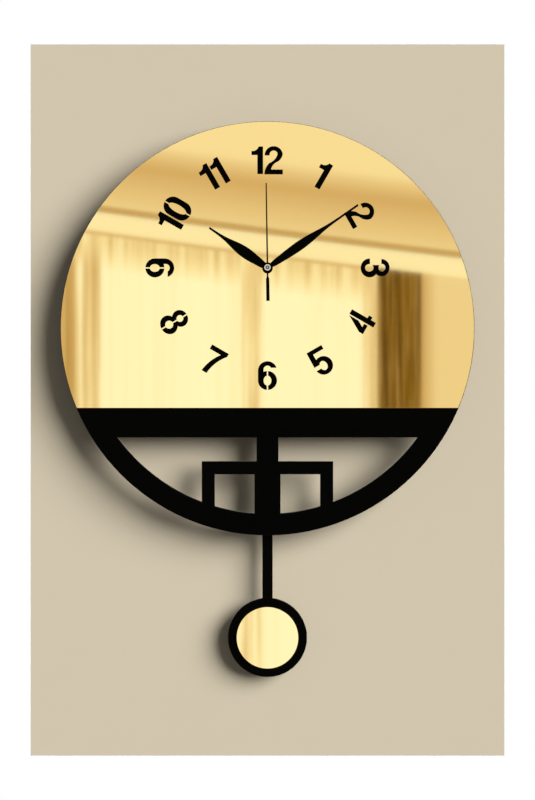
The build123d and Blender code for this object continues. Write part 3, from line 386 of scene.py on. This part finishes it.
@material_once
def gold_mirror(name):
    """Mirrored acrylic: a gold film seen through a clear sheet, with a darker cut edge."""
    look = bpy.context.scene.clock_finishes
    material, tree, shader, place = start_material(name)
    tone = effect(tree, "tone_drift", Vector=place, Color=look.mirror, Scale=9.0, Depth=0.012)
    marks = effect(tree, "dust_and_smears", Vector=place, Dust=0.10, Smears=0.5)
    facing = add_node(tree, "ShaderNodeNewGeometry").outputs["Normal"]
    parts = add_node(tree, "ShaderNodeSeparateXYZ", Vector=facing)
    front = spread(tree, parts.outputs["Y"], -0.35, -0.75)
    streaks = add_node(tree, "ShaderNodeTexNoise", Scale=420.0, Detail=3.0,
                       Vector=stretched(tree, place, (1.0, 9.0, 1.0)))
    edge = blend_colour(tree, streaks.outputs["Fac"], look.mirror_edge,
                        (0.62, 0.46, 0.16))
    feed(tree, shader.inputs["Base Color"], blend_colour(tree, front, edge, tone["Color"]))
    feed(tree, shader.inputs["Metallic"], spread(tree, front, 0.0, 1.0, 0.25, 0.78))
    haze = combine(tree, "MULTIPLY", marks["Smear"], 0.02)
    feed(tree, shader.inputs["Roughness"],
         combine(tree, "ADD", haze, spread(tree, front, 0.0, 1.0, 0.22, 0.0)))
    waves = add_node(tree, "ShaderNodeTexNoise", Vector=place, Scale=11.0, Detail=1.0)
    rough(tree, shader, waves.outputs["Fac"], 0.000004)
    return material


@material_once
def painted_hand(name):
    look = bpy.context.scene.clock_finishes
    material, tree, shader, place = start_material(name)
    tone = effect(tree, "tone_drift", Vector=place, Color=look.hand, Scale=90.0, Depth=0.2)
    wear = effect(tree, "edge_wear", Vector=place, Radius=0.12 * MM, Breakup_Scale=2200.0,
                  Amount=0.25)
    feed(tree, shader.inputs["Base Color"],
         blend_colour(tree, wear["Mask"], tone["Color"], (0.16, 0.155, 0.15)))
    feed(tree, shader.inputs["Metallic"], combine(tree, "MULTIPLY", wear["Mask"], 0.6))
    feed(tree, shader.inputs["Roughness"], spread(tree, tone["Value"], 0.3, 0.7, 0.40, 0.50))
    shader.inputs["Specular IOR Level"].default_value = 0.012
    peel = add_node(tree, "ShaderNodeTexNoise", Vector=place, Scale=2400.0, Detail=2.0)
    rough(tree, shader, peel.outputs["Fac"], 0.000010)
    return material


@material_once
def metal(name, kind, colour, roughness, drift=0.08, lines=0.0):
    """A bare or plated metal with drawn lines, tarnish and bright rubbed edges, named by kind."""
    material, tree, shader, place = start_material(name)
    tone = effect(tree, "tone_drift", Vector=place, Color=colour, Scale=120.0, Depth=drift)
    drawn = effect(tree, "brushed_lines", Vector=place, Fineness=1400.0)
    wear = effect(tree, "edge_wear", Vector=place, Radius=0.2 * MM, Amount=0.7)
    bright = tuple(min(1.0, c * 1.25 + 0.05) for c in colour)
    feed(tree, shader.inputs["Base Color"],
         blend_colour(tree, wear["Mask"], tone["Color"], bright))
    shader.inputs["Metallic"].default_value = 1.0
    feed(tree, shader.inputs["Roughness"],
         spread(tree, drawn["Value"], 0.3, 0.7, max(0.03, roughness - 0.10), roughness + 0.10))
    rough(tree, shader, drawn["Height"], 0.000003 + 0.00002 * lines)
    return material


@material_once
def polished_boss(name, radius):
    """Chrome of the boss: bright on the bead and the button, with painted shade in the dish between
    them.
    """
    material, tree, shader, place = start_material(name)
    reach = add_node(tree, "ShaderNodeVectorMath", operation="DISTANCE")
    feed(tree, reach.inputs[0], stretched(tree, place, (1.0, 0.0, 1.0)))
    feed(tree, reach.inputs[1], (HAND_AXIS.x, 0.0, HAND_AXIS.z))
    out = reach.outputs["Value"]
    # painted shade: a ring mask for the dish between the bead and the button
    dish = combine(tree, "MULTIPLY", spread(tree, out, 0.62 * radius, 0.52 * radius),
                   spread(tree, out, 0.14 * radius, 0.24 * radius))
    tone = effect(tree, "tone_drift", Vector=place, Color=(0.76, 0.83, 0.96), Scale=120.0,
                  Depth=0.03)
    wear = effect(tree, "edge_wear", Vector=place, Radius=0.1 * MM, Amount=0.5)
    # the plated colour turns near-black in the dish: painted shade
    plated = blend_colour(tree, dish, tone["Color"], (0.10, 0.105, 0.12))
    feed(tree, shader.inputs["Base Color"],
         blend_colour(tree, wear["Mask"], plated, (0.80, 0.82, 0.86)))
    shader.inputs["Metallic"].default_value = 1.0
    feed(tree, shader.inputs["Roughness"], spread(tree, tone["Value"], 0.3, 0.7, 0.08, 0.16))
    return material


@material_once
def plastic(name, kind, colour, roughness, grain=1.0, milky=0.0):
    """A moulded plastic with grain, tone drift, dust, and edges rubbed lighter."""
    look = bpy.context.scene.clock_finishes
    material, tree, shader, place = start_material(name)
    tone = effect(tree, "tone_drift", Vector=place, Color=colour, Scale=60.0, Depth=0.07)
    marks = effect(tree, "dust_and_smears", Vector=place, Dust=0.25, Smears=0.6)
    wear = effect(tree, "edge_wear", Vector=place, Radius=look.edge_radius, Amount=0.5)
    rubbed = tuple(min(1.0, c * 1.35 + 0.02) for c in colour)
    worn = blend_colour(tree, wear["Mask"], tone["Color"], rubbed)
    feed(tree, shader.inputs["Base Color"],
         blend_colour(tree, marks["Dust"], worn, (0.33, 0.31, 0.28)))
    feed(tree, shader.inputs["Roughness"],
         combine(tree, "ADD", roughness, combine(tree, "MULTIPLY", marks["Smear"], 0.15)))
    shader.inputs["Subsurface Weight"].default_value = milky
    shader.inputs["Subsurface Scale"].default_value = 0.6 * MM
    moulded = effect(tree, "moulding_grain", Vector=place, Size=look.moulding_grain)
    rough(tree, shader, moulded["Height"], 0.00002 * grain)
    return material


@material_once
def winding(name, axis, turn_pitch):
    """Enamelled copper turns laid side by side along an axis, "X" or "Y", with painted shade between
    the turns.
    """
    look = bpy.context.scene.clock_finishes
    material, tree, shader, place = start_material(name)
    tone = effect(tree, "tone_drift", Vector=place, Color=look.copper, Scale=150.0, Depth=0.12)
    turns = add_node(tree, "ShaderNodeTexWave", Vector=place, wave_type="BANDS",
                     bands_direction=axis, Scale=math.pi / (10 * turn_pitch), Distortion=0.25)
    # painted shade: the near-black colour between the turns stands for the shade in the valleys
    # between the wires
    feed(tree, shader.inputs["Base Color"],
         blend_colour(tree, turns.outputs["Fac"], (0.10, 0.02, 0.01), tone["Color"]))
    shader.inputs["Metallic"].default_value = 0.85
    shader.inputs["Coat Weight"].default_value = 0.5
    feed(tree, shader.inputs["Roughness"], spread(tree, tone["Value"], 0.3, 0.7, 0.26, 0.36))
    rough(tree, shader, turns.outputs["Fac"], turn_pitch / 2)
    return material


@material_once
def circuit(name):
    """Green solder mask over copper tracks, with tinned pads."""
    material, tree, shader, place = start_material(name)
    upright = stretched(tree, place, (1.0, 1.0, 1.0), (math.pi / 2, 0.0, 0.0))
    tracks = 0.0
    for size, seed in ((1.6 * MM, 0.0), (2.3 * MM, 0.37)):
        brick = add_node(tree, "ShaderNodeTexBrick", offset=0.37 + seed / 2, squash=0.6,
                         squash_frequency=3, Scale=1.0, Mortar_Size=0.11 * MM,
                         Mortar_Smooth=0.1, Brick_Width=4.1 * size, Row_Height=size,
                         Vector=stretched(tree, upright, (1.0, 1.0, 1.0),
                                          (0.0, 0.0, math.pi / 2 * (seed > 0))))
        tracks = combine(tree, "MAXIMUM", tracks, brick.outputs["Fac"])
    pads = add_node(tree, "ShaderNodeTexVoronoi", Vector=place, Scale=300.0, Randomness=0.55)
    pad = spread(tree, pads.outputs["Distance"], 0.16, 0.14)
    tone = effect(tree, "tone_drift", Vector=place, Color=(0.012, 0.105, 0.042), Scale=90.0,
                  Depth=0.1)
    masked = blend_colour(tree, tracks, tone["Color"], (0.035, 0.22, 0.085))
    feed(tree, shader.inputs["Base Color"],
         blend_colour(tree, pad, masked, (0.62, 0.61, 0.57)))
    feed(tree, shader.inputs["Metallic"], combine(tree, "MULTIPLY", pad, 0.9))
    feed(tree, shader.inputs["Roughness"], spread(tree, tone["Value"], 0.3, 0.7, 0.28, 0.40))
    rough(tree, shader, combine(tree, "ADD", pad, tracks), 0.00003)
    return material


@material_once
def cell_sleeve(name):
    """Printed sleeve of a cell: dark body, one band near the positive end, thin lines."""
    look = bpy.context.scene.clock_finishes
    material, tree, shader, place = start_material(name)
    low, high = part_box("battery")
    length = high.x - low.x
    split = high.x - 0.27 * length
    along = add_node(tree, "ShaderNodeSeparateXYZ", Vector=place).outputs["X"]
    band = spread(tree, along, split, split + 0.1 * MM)
    line_at = combine(tree, "ABSOLUTE", combine(tree, "SUBTRACT", along, split - 1.6 * MM))
    line = spread(tree, line_at, 0.5 * MM, 0.4 * MM)
    tone = effect(tree, "tone_drift", Vector=place, Color=look.cell_body, Scale=70.0, Depth=0.08)
    body = blend_colour(tree, band, tone["Color"], look.cell_band)
    wear = effect(tree, "edge_wear", Vector=place, Radius=0.3 * MM, Amount=0.8)
    printed = blend_colour(tree, line, body, (0.75, 0.74, 0.70))
    feed(tree, shader.inputs["Base Color"],
         blend_colour(tree, wear["Mask"], printed, (0.55, 0.55, 0.55)))
    shader.inputs["Metallic"].default_value = 0.35
    feed(tree, shader.inputs["Roughness"], spread(tree, tone["Value"], 0.3, 0.7, 0.24, 0.34))
    shader.inputs["Coat Weight"].default_value = 0.4
    shrink = add_node(tree, "ShaderNodeTexNoise", Vector=place, Scale=300.0, Detail=2.0)
    rough(tree, shader, shrink.outputs["Fac"], 0.00002)
    return material


# ------------------------------------------------------------------ making pieces
def deselect():
    for thing in bpy.context.selected_objects:
        thing.select_set(False)


def finish_piece(name, material, body, replaced=()):
    """Name the active object, lay its place into its mesh, and hang it on its body."""
    piece = bpy.context.view_layer.objects.active
    piece.name = name
    piece.data.name = name
    bpy.ops.object.transform_apply(location=True, rotation=True, scale=True)
    piece.data.materials.clear()
    piece.data.materials.append(material)
    bpy.ops.object.shade_smooth_by_angle(angle=math.radians(32))
    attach(piece, body)
    if replaced:
        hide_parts(*replaced)
    deselect()
    return piece


def turned(start, axis, profile, sides=64):
    """Turn a closed form: a circle at the start point, drawn out ring by ring along an axis.

    profile lists (distance along the axis, radius), from the first ring to the last, and both
    ends are closed by a face.
    """
    deselect()
    first_along, first_radius = profile[0]
    direction = Vector(axis).normalized()
    turn = direction.to_track_quat("Z", "Y").to_euler()
    bpy.ops.mesh.primitive_circle_add(vertices=sides, radius=first_radius, fill_type="NGON",
                                      location=Vector(start) + direction * first_along,
                                      rotation=turn)
    bpy.ops.object.mode_set(mode="EDIT")
    bpy.ops.mesh.select_all(action="SELECT")
    along, radius = first_along, first_radius
    for next_along, next_radius in profile[1:]:
        step = direction * (next_along - along)
        bpy.ops.mesh.extrude_region_move(TRANSFORM_OT_translate={"value": step})
        share = next_radius / radius
        bpy.ops.transform.resize(value=(share, share, share),
                                 center_override=Vector(start) + direction * next_along)
        along, radius = next_along, next_radius
    bpy.ops.mesh.select_all(action="SELECT")
    bpy.ops.mesh.normals_make_consistent(inside=False)
    bpy.ops.object.mode_set(mode="OBJECT")


def paint(node, material):
    """Give a CAD node its material."""
    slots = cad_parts[node].material_slots
    for slot in slots:
        slot.material = material
    if not slots:
        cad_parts[node].data.materials.append(material)


class CLOCK_OT_board(Operator):
    """Finish the board and the pendulum in black acrylic"""

    bl_idname = "clock.board"
    bl_label = "Board and pendulum"
    bl_options = {"REGISTER", "UNDO"}

    def execute(self, context):
        for node in ("back_board", "pendulum_rod"):
            paint(node, black_acrylic())
        return {"FINISHED"}


class CLOCK_OT_mirrors(Operator):
    """Finish the mirror sheet and the bob's mirror"""

    bl_idname = "clock.mirrors"
    bl_label = "Mirrors"
    bl_options = {"REGISTER", "UNDO"}

    def execute(self, context):
        for node in ("mirror_face", "bob_mirror"):
            paint(node, gold_mirror())
        return {"FINISHED"}


class CLOCK_OT_hands(Operator):
    """Finish the three hands, and turn the polished boss at their centre"""

    bl_idname = "clock.hands"
    bl_label = "Hands"
    bl_options = {"REGISTER", "UNDO"}

    def execute(self, context):
        for node in ("hour_hand", "minute_hand", "second_hand"):
            paint(node, painted_hand())
        low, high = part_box("second_cap")
        radius = (high.x - low.x) / 2
        height = high.y - low.y
        crown = [(0.0, radius * 0.92), (height * 0.08, radius)]
        for step in range(0, 9):                # bead round the rim
            angle = math.radians(180 * step / 8)
            crown.append((height * (0.66 + 0.34 * math.sin(angle)),
                          radius * (0.80 + 0.20 * math.cos(angle))))
        crown += [(height * 0.52, radius * 0.56), (height * 0.46, radius * 0.40),
                  (height * 0.46, radius * 0.24)]
        for step in range(1, 6):                # button in the middle of the dish
            angle = math.radians(90 * step / 5)
            crown.append((height * (0.48 + 0.30 * math.sin(angle)),
                          radius * (0.02 + 0.20 * math.cos(angle))))
        turned((HAND_AXIS.x, high.y, HAND_AXIS.z), (0, -1, 0), crown)
        finish_piece("boss_polished", polished_boss(radius), "seconds",
                     ["second_cap"])
        return {"FINISHED"}


class CLOCK_OT_fixings(Operator):
    """Finish the bush, nut, washer, gasket, collets and the hanger strap"""

    bl_idname = "clock.fixings"
    bl_label = "Fixings"
    bl_options = {"REGISTER", "UNDO"}

    def execute(self, context):
        look = context.scene.clock_finishes
        for node in ("threaded_bush", "fixing_nut", "hour_collet", "minute_collet",
                     "second_tube"):
            paint(node, metal("brass", look.brass, 0.28, 0.10, 0.3))
        for node in ("hanger_bracket", "cover_screws", "fixing_washer"):
            paint(node, metal("zinc", look.steel, 0.34, 0.14, 0.4))
        for node in ("seconds_arbor", "pendulum_pin", "stator"):
            paint(node, metal("bright", look.steel, 0.22, 0.06, 0.2))
        for node in ("battery_contact_positive", "battery_contact_negative"):
            paint(node, metal("spring", (0.50, 0.48, 0.45), 0.24, 0.08, 0.3))
        paint("quartz_crystal", metal("can", (0.55, 0.55, 0.54), 0.20, 0.05, 0.1))
        paint("rubber_gasket", plastic("rubber", (0.016, 0.016, 0.016), 0.75, 1.4))
        return {"FINISHED"}


class CLOCK_OT_movement(Operator):
    """Finish the movement's case, cover and pendulum arm"""

    bl_idname = "clock.movement"
    bl_label = "Movement shell"
    bl_options = {"REGISTER", "UNDO"}

    def execute(self, context):
        look = context.scene.clock_finishes
        for node in ("movement_case", "movement_cover"):
            paint(node, plastic("case", look.case, 0.46, 1.6))
        paint("setting_knob", plastic("knob", (0.55, 0.54, 0.50), 0.38, 0.6))
        paint("pendulum_arm", plastic("arm", look.acetal, 0.36, 0.4, 0.15))
        return {"FINISHED"}


class CLOCK_OT_train(Operator):
    """Finish the wheels, plates and magnets"""

    bl_idname = "clock.train"
    bl_label = "Gear train"
    bl_options = {"REGISTER", "UNDO"}

    def execute(self, context):
        look = context.scene.clock_finishes
        for node in ("hour_wheel", "motion_wheel", "seconds_wheel", "third_wheel",
                     "fifth_wheel", "rotor_pinion"):
            paint(node, plastic("acetal", look.acetal, 0.34, 0.3, 0.15))
        for node in ("cannon_pinion", "centre_wheel"):
            paint(node, plastic("acetal_black", (0.02, 0.02, 0.021), 0.34, 0.3))
        for node in ("middle_plate", "train_bridge"):
            paint(node, plastic("plate", (0.42, 0.43, 0.44), 0.42, 0.8))
        for node in ("rotor_magnet", "arm_magnet"):
            paint(node, metal("ferrite", (0.10, 0.10, 0.105), 0.50, 0.15, 0.0))
        return {"FINISHED"}


class CLOCK_OT_electronics(Operator):
    """Finish the coils, bobbins and circuit boards"""

    bl_idname = "clock.electronics"
    bl_label = "Electronics"
    bl_options = {"REGISTER", "UNDO"}

    def execute(self, context):
        paint("motor_coil", winding("X", 0.19 * MM))
        paint("drive_coil", winding("Y", 0.19 * MM))
        for node in ("motor_bobbin", "drive_bobbin"):
            paint(node, plastic("bobbin", (0.66, 0.58, 0.38), 0.40, 0.4))
        for node in ("circuit_board", "drive_board"):
            paint(node, circuit())
        paint("driver_chip", plastic("epoxy", (0.006, 0.006, 0.006), 0.18, 0.1))
        return {"FINISHED"}


class CLOCK_OT_cell(Operator):
    """Turn the cell: crimped can, shoulder and positive button"""

    bl_idname = "clock.cell"
    bl_label = "Cell"
    bl_options = {"REGISTER", "UNDO"}

    def execute(self, context):
        low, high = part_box("battery")
        radius = (high.z - low.z) / 2
        length = high.x - low.x
        button = 1.2 * MM
        shoulder = length - button
        profile = [(0.0, radius * 0.62), (0.15 * MM, radius * 0.66), (0.15 * MM, radius * 0.90),
                   (0.0, radius * 0.93), (0.25 * MM, radius * 0.985), (0.8 * MM, radius),
                   (shoulder - 1.9 * MM, radius), (shoulder - 1.6 * MM, radius * 0.975),
                   (shoulder - 1.2 * MM, radius * 0.975), (shoulder - 0.9 * MM, radius),
                   (shoulder - 0.35 * MM, radius), (shoulder, radius * 0.95),
                   (shoulder - 0.15 * MM, radius * 0.84), (shoulder - 0.15 * MM, radius * 0.42),
                   (shoulder + 0.1 * MM, 2.75 * MM), (length - 0.25 * MM, 2.70 * MM),
                   (length, 2.4 * MM)]
        turned((low.x, (low.y + high.y) / 2, (low.z + high.z) / 2), (1, 0, 0), profile)
        finish_piece("cell", cell_sleeve(), "clock", ["battery"])
        return {"FINISHED"}


# ------------------------------------------------------------------ studio
def stage_material(name, colour, roughness=0.85):
    material, tree, shader, place = start_material(name)
    tone = effect(tree, "tone_drift", Vector=place, Color=colour, Scale=3.0, Depth=0.008)
    feed(tree, shader.inputs["Base Color"], tone["Color"])
    shader.inputs["Roughness"].default_value = roughness
    shader.inputs["Specular IOR Level"].default_value = 0.2
    return material


def see_through(tree, amount):
    """Let a material's shader give way to clear by an amount, 0 to 1."""
    clear = add_node(tree, "ShaderNodeBsdfTransparent")
    mix = tree.nodes.new("ShaderNodeMixShader")
    feed(tree, mix.inputs[0], amount)
    feed(tree, mix.inputs[1], tree.nodes["Principled BSDF"].outputs[0])
    feed(tree, mix.inputs[2], clear.outputs[0])
    feed(tree, tree.nodes["Material Output"].inputs["Surface"], mix.outputs[0])


def stage_panel(name, size, location, rotation, material):
    deselect()
    bpy.ops.mesh.primitive_plane_add(size=1.0, location=location, rotation=rotation)
    panel = bpy.context.view_layer.objects.active
    panel.name = name
    panel.data.transform(Matrix.Diagonal((size[0], size[1], 1.0, 1.0)))
    panel.data.materials.append(material)
    return panel


def glow_material(name, build):
    """A panel that only gives the mirror something to reflect. build gives its colour output."""
    material = bpy.data.materials.new(name)
    material.use_nodes = True
    tree = material.node_tree
    tree.nodes.remove(tree.nodes["Principled BSDF"])
    place = add_node(tree, "ShaderNodeTexCoord").outputs["Object"]
    light = add_node(tree, "ShaderNodeEmission", Color=build(tree, place), Strength=1.0)
    feed(tree, tree.nodes["Material Output"].inputs["Surface"], light.outputs[0])
    return material


def only_reflected(thing):
    thing.visible_camera = False
    thing.visible_diffuse = False
    thing.visible_shadow = False
    thing.visible_transmission = False
    thing.visible_volume_scatter = False


class CLOCK_OT_studio(Operator):
    """Set the wall, floor, light, the soft surroundings that the mirror reflects, and the camera"""

    bl_idname = "clock.studio"
    bl_label = "Studio"
    bl_options = {"REGISTER", "UNDO"}

    def execute(self, context):
        studio = context.scene.clock_studio
        self.set_wall(studio)
        self.set_floor(studio)
        self.set_light(context, studio)
        self.set_camera(context, studio)
        self.set_surroundings(studio)
        context.scene.view_settings.view_transform = "Standard"
        return {"FINISHED"}

    def set_wall(self, studio):
        material = stage_material("wall_paint", studio.wall)
        tree = material.node_tree
        see_through(tree, add_node(tree, "ShaderNodeNewGeometry").outputs["Backfacing"])
        wall = stage_panel("wall", (studio.wall_width, studio.wall_height),
                           (MIDDLE.x, WALL_BEHIND, MIDDLE.z), (math.pi / 2, 0.0, 0.0), material)
        wall.visible_shadow = False
        wall.visible_diffuse = False
        wall.visible_glossy = False

    def set_floor(self, studio):
        level = MIDDLE.z - studio.view_height * FLOOR_DROP
        material = stage_material("floor_paint", studio.floor)
        tree = material.node_tree
        place = add_node(tree, "ShaderNodeTexCoord").outputs["Object"]
        reach = add_node(tree, "ShaderNodeVectorMath", operation="LENGTH")
        feed(tree, reach.inputs[0], place)
        see_through(tree, spread(tree, reach.outputs["Value"], *FLOOR_FADE))
        floor = stage_panel("floor", (FLOOR_SIZE, FLOOR_SIZE), (MIDDLE.x, 0.0, level),
                            (0.0, 0.0, 0.0), material)
        floor.visible_diffuse = False
        floor.visible_glossy = False

    def set_light(self, context, studio):
        bpy.ops.object.light_add(type="SUN")
        key = context.view_layer.objects.active
        key.name = "key_light"
        key.rotation_euler = Vector(KEY_FROM).to_track_quat("Z", "Y").to_euler()
        key.data.angle = studio.key_spread
        key.data.energy = studio.key_power
        key.visible_glossy = False
        bpy.ops.object.light_add(type="SUN")
        rear = context.view_layer.objects.active
        rear.name = "rear_light"
        rear.rotation_euler = Vector(REAR_FROM).to_track_quat("Z", "Y").to_euler()
        rear.data.angle = studio.key_spread
        rear.data.energy = studio.rear_power
        world = context.scene.world or bpy.data.worlds.new("surroundings")
        context.scene.world = world
        world.use_nodes = True
        tree = world.node_tree
        back = tree.nodes["Background"]
        path = add_node(tree, "ShaderNodeLightPath")
        feed(tree, back.inputs["Strength"],
             spread(tree, path.outputs["Is Camera Ray"], 0.0, 1.0, studio.fill, 1.0))
        back.inputs["Color"].default_value = (1.0, 1.0, 1.0, 1.0)

    def set_camera(self, context, studio):
        bpy.ops.object.camera_add()
        camera = context.view_layer.objects.active
        camera.name = "camera"
        camera.data.lens = studio.lens
        camera.data.sensor_width = SENSOR_WIDTH
        half = SENSOR_WIDTH / 2 / studio.lens
        away = studio.view_height / 2 / half
        camera.location = (MIDDLE.x, MIRROR_FRONT - away, MIDDLE.z)
        camera.rotation_euler = (math.pi / 2, 0.0, 0.0)
        camera.data.clip_end = 50.0
        context.scene.camera = camera

    def set_surroundings(self, studio):
        """What the mirror and the bright metal reflect: a curtained room, on one drum."""
        deselect()
        bpy.ops.mesh.primitive_cylinder_add(vertices=ROOM_SIDES, radius=ROOM_RADIUS,
                                            depth=ROOM_HEIGHT, end_fill_type="TRIFAN")
        drum = bpy.context.view_layer.objects.active
        drum.name = "reflected_room"
        drum.data.materials.append(glow_material("room_glow", room_colour))
        only_reflected(drum)


def room_colour(tree, place):
    """Painted reflection of sheer curtains under a recessed ceiling, with side drapes and plain walls
    to the sides, and painted shade in the ceiling's recess and along its border.
    """
    parts = add_node(tree, "ShaderNodeSeparateXYZ", Vector=place)
    across, height = parts.outputs["X"], parts.outputs["Z"]
    slope = 0.1285                          # fall of the ceiling's lines from left to right
    level = combine(tree, "ADD", height, combine(tree, "MULTIPLY", across, slope))

    # Places across, from left to right
    drape_end, sheer_start, join_start, join_end = -0.330, -0.286, -0.045, -0.010
    gathers_start, dark_start, dark_end, sides_start = 0.165, 0.189, 0.264, 0.385
    pane_start, pane_end = 0.95, 1.25       # a bright window well to each side
    # Places up, from the curtain's heading to the ceiling
    heading, rail, border, lip, shadow_line = 0.076, 0.112, 0.118, 0.148, 0.151
    recess_start, recess_face, recess_end, ceiling = 0.163, 0.1665, 0.245, 0.258
    floor_level = -1.7
    # Half the width of an edge: cloth, woodwork, and fine lines
    cloth, wood, fine = 0.0005, 0.0004, 0.0002
    pleat = 0.026

    def layer(under, over, value, at, soft):
        """over where value is past a place, under before it."""
        return blend(spread(tree, value, at - soft, at + soft), under, over)

    def blend(amount, under, over):
        node = add_node(tree, "ShaderNodeMix", data_type="FLOAT")
        for socket, value in zip(node.inputs[0:1] + node.inputs[2:4], (amount, under, over)):
            feed(tree, socket, value)
        return node.outputs[0]

    def pleats(pitch, width, low):
        """Thin dark lines at an even pitch across."""
        wave = combine(tree, "PINGPONG", combine(tree, "ADD", across, 3.0), pitch / 2)
        return spread(tree, wave, 0.0, width, low, 1.0)

    def folds(fineness, low, high, seed):
        noise = add_node(tree, "ShaderNodeTexNoise", Scale=fineness, Detail=4.0,
                         Roughness=0.6, noise_dimensions="4D", W=seed,
                         Vector=stretched(tree, place, (1.0, 1.0, 0.015)))
        return spread(tree, noise.outputs["Fac"], 0.37, 0.60, low, high)

    sheer = combine(tree, "MULTIPLY", folds(70.0, 0.970, 1.0, 1.0), pleats(pleat, 0.0030, 0.975))
    side = layer(folds(120.0, 0.46, 0.68, 7.0), folds(110.0, 0.62, 1.0, 2.0),
                 across, drape_end, cloth)
    tops = combine(tree, "MULTIPLY", folds(150.0, 0.74, 0.95, 3.0), pleats(pleat, 0.004, 0.86))
    dark = folds(290.0, -0.06, 0.46, 4.0)
    wall = spread(tree, across, 0.266, 0.290, 0.62, 0.82)
    aside = combine(tree, "ABSOLUTE", across)
    sides = spread(tree, aside, 0.40, 1.7, 0.88, 0.70)
    sides = layer(sides, 0.98, aside, pane_start, 0.02)
    sides = layer(sides, 0.74, aside, pane_end, 0.02)
    curtain = layer(side, sheer, across, sheer_start, cloth)
    curtain = layer(curtain, folds(170.0, 0.70, 0.98, 5.0), across, join_start, cloth)
    curtain = layer(curtain, sheer, across, join_end, cloth)
    curtain = layer(curtain, folds(210.0, 0.72, 1.0, 6.0), across, gathers_start, 0.002)
    gathered = layer(tops, 0.64, level, rail, cloth)
    curtain = layer(curtain, gathered, level, heading, 0.024)
    lower = layer(curtain, dark, across, dark_start, wood)
    lower = layer(lower, wall, across, dark_end, cloth)
    lower = layer(lower, sides, aside, sides_start, 0.004)
    upper = layer(lower, 0.93, level, border, wood)
    upper = layer(upper, 0.99, level, lip, wood)
    # painted shadow line along the ceiling's border
    upper = layer(upper, 0.52, level, shadow_line, fine)
    # painted shade: the ceiling's recess darkens towards its far side
    recess_shade = spread(tree, level, recess_start, recess_end, 0.86, 0.62)
    upper = layer(upper, recess_shade, level, recess_start, fine)
    recess_shade = spread(tree, level, 0.166, recess_end, 0.82, 0.62)
    upper = layer(upper, recess_shade, level, recess_face, wood)
    light = layer(upper, 0.88, level, ceiling, 0.022)
    # the reflected floor, darker from the front towards the back
    floor = spread(tree, parts.outputs["Y"], -2.2, 0.0, 0.82, 0.56)
    light = layer(floor, light, height, floor_level, 0.3)
    ramp = tree.nodes.new("ShaderNodeValToRGB")
    tones = ((0.0, (0.045, 0.016, 0.001)), (0.25, (0.219, 0.116, 0.006)),
             (0.60, (0.62, 0.41, 0.19)), (0.80, (0.84, 0.68, 0.46)),
             (0.90, (0.98, 0.88, 0.66)), (1.0, (1.06, 1.10, 1.06)))
    for at, tone in tones:
        stop = ramp.color_ramp.elements.new(at) if 0.0 < at < 1.0 else \
            ramp.color_ramp.elements[0 if at == 0.0 else -1]
        stop.color = (*tone, 1.0)
    feed(tree, ramp.inputs[0], light)
    return ramp.outputs[0]


class CLOCK_PT_panel(Panel):
    """Steps and settings of the clock"""

    bl_label = "Wall Clock"
    bl_idname = "CLOCK_PT_panel"
    bl_space_type = "VIEW_3D"
    bl_region_type = "UI"
    bl_category = "Wall Clock"

    def draw(self, context):
        for step in STEPS:
            self.layout.operator(step.bl_idname)
        for settings in (context.scene.clock_finishes, context.scene.clock_studio):
            for key in settings.bl_rna.properties.keys():
                if key not in ("rna_type", "name"):
                    self.layout.prop(settings, key)


STEPS = (CLOCK_OT_board, CLOCK_OT_mirrors, CLOCK_OT_hands, CLOCK_OT_fixings, CLOCK_OT_movement,
         CLOCK_OT_train, CLOCK_OT_electronics, CLOCK_OT_cell, CLOCK_OT_studio)
CLASSES = (ClockFinishes, ClockStudio, *STEPS, CLOCK_PT_panel)


def register():
    for item in CLASSES:
        bpy.utils.register_class(item)
    bpy.types.Scene.clock_finishes = PointerProperty(type=ClockFinishes)
    bpy.types.Scene.clock_studio = PointerProperty(type=ClockStudio)


def unregister():
    del bpy.types.Scene.clock_studio
    del bpy.types.Scene.clock_finishes
    for item in reversed(CLASSES):
        bpy.utils.unregister_class(item)


def main():
    register()
    for step in STEPS:
        family, action = step.bl_idname.split(".")
        getattr(getattr(bpy.ops, family), action)()


if __name__ == "__main__":
    main()
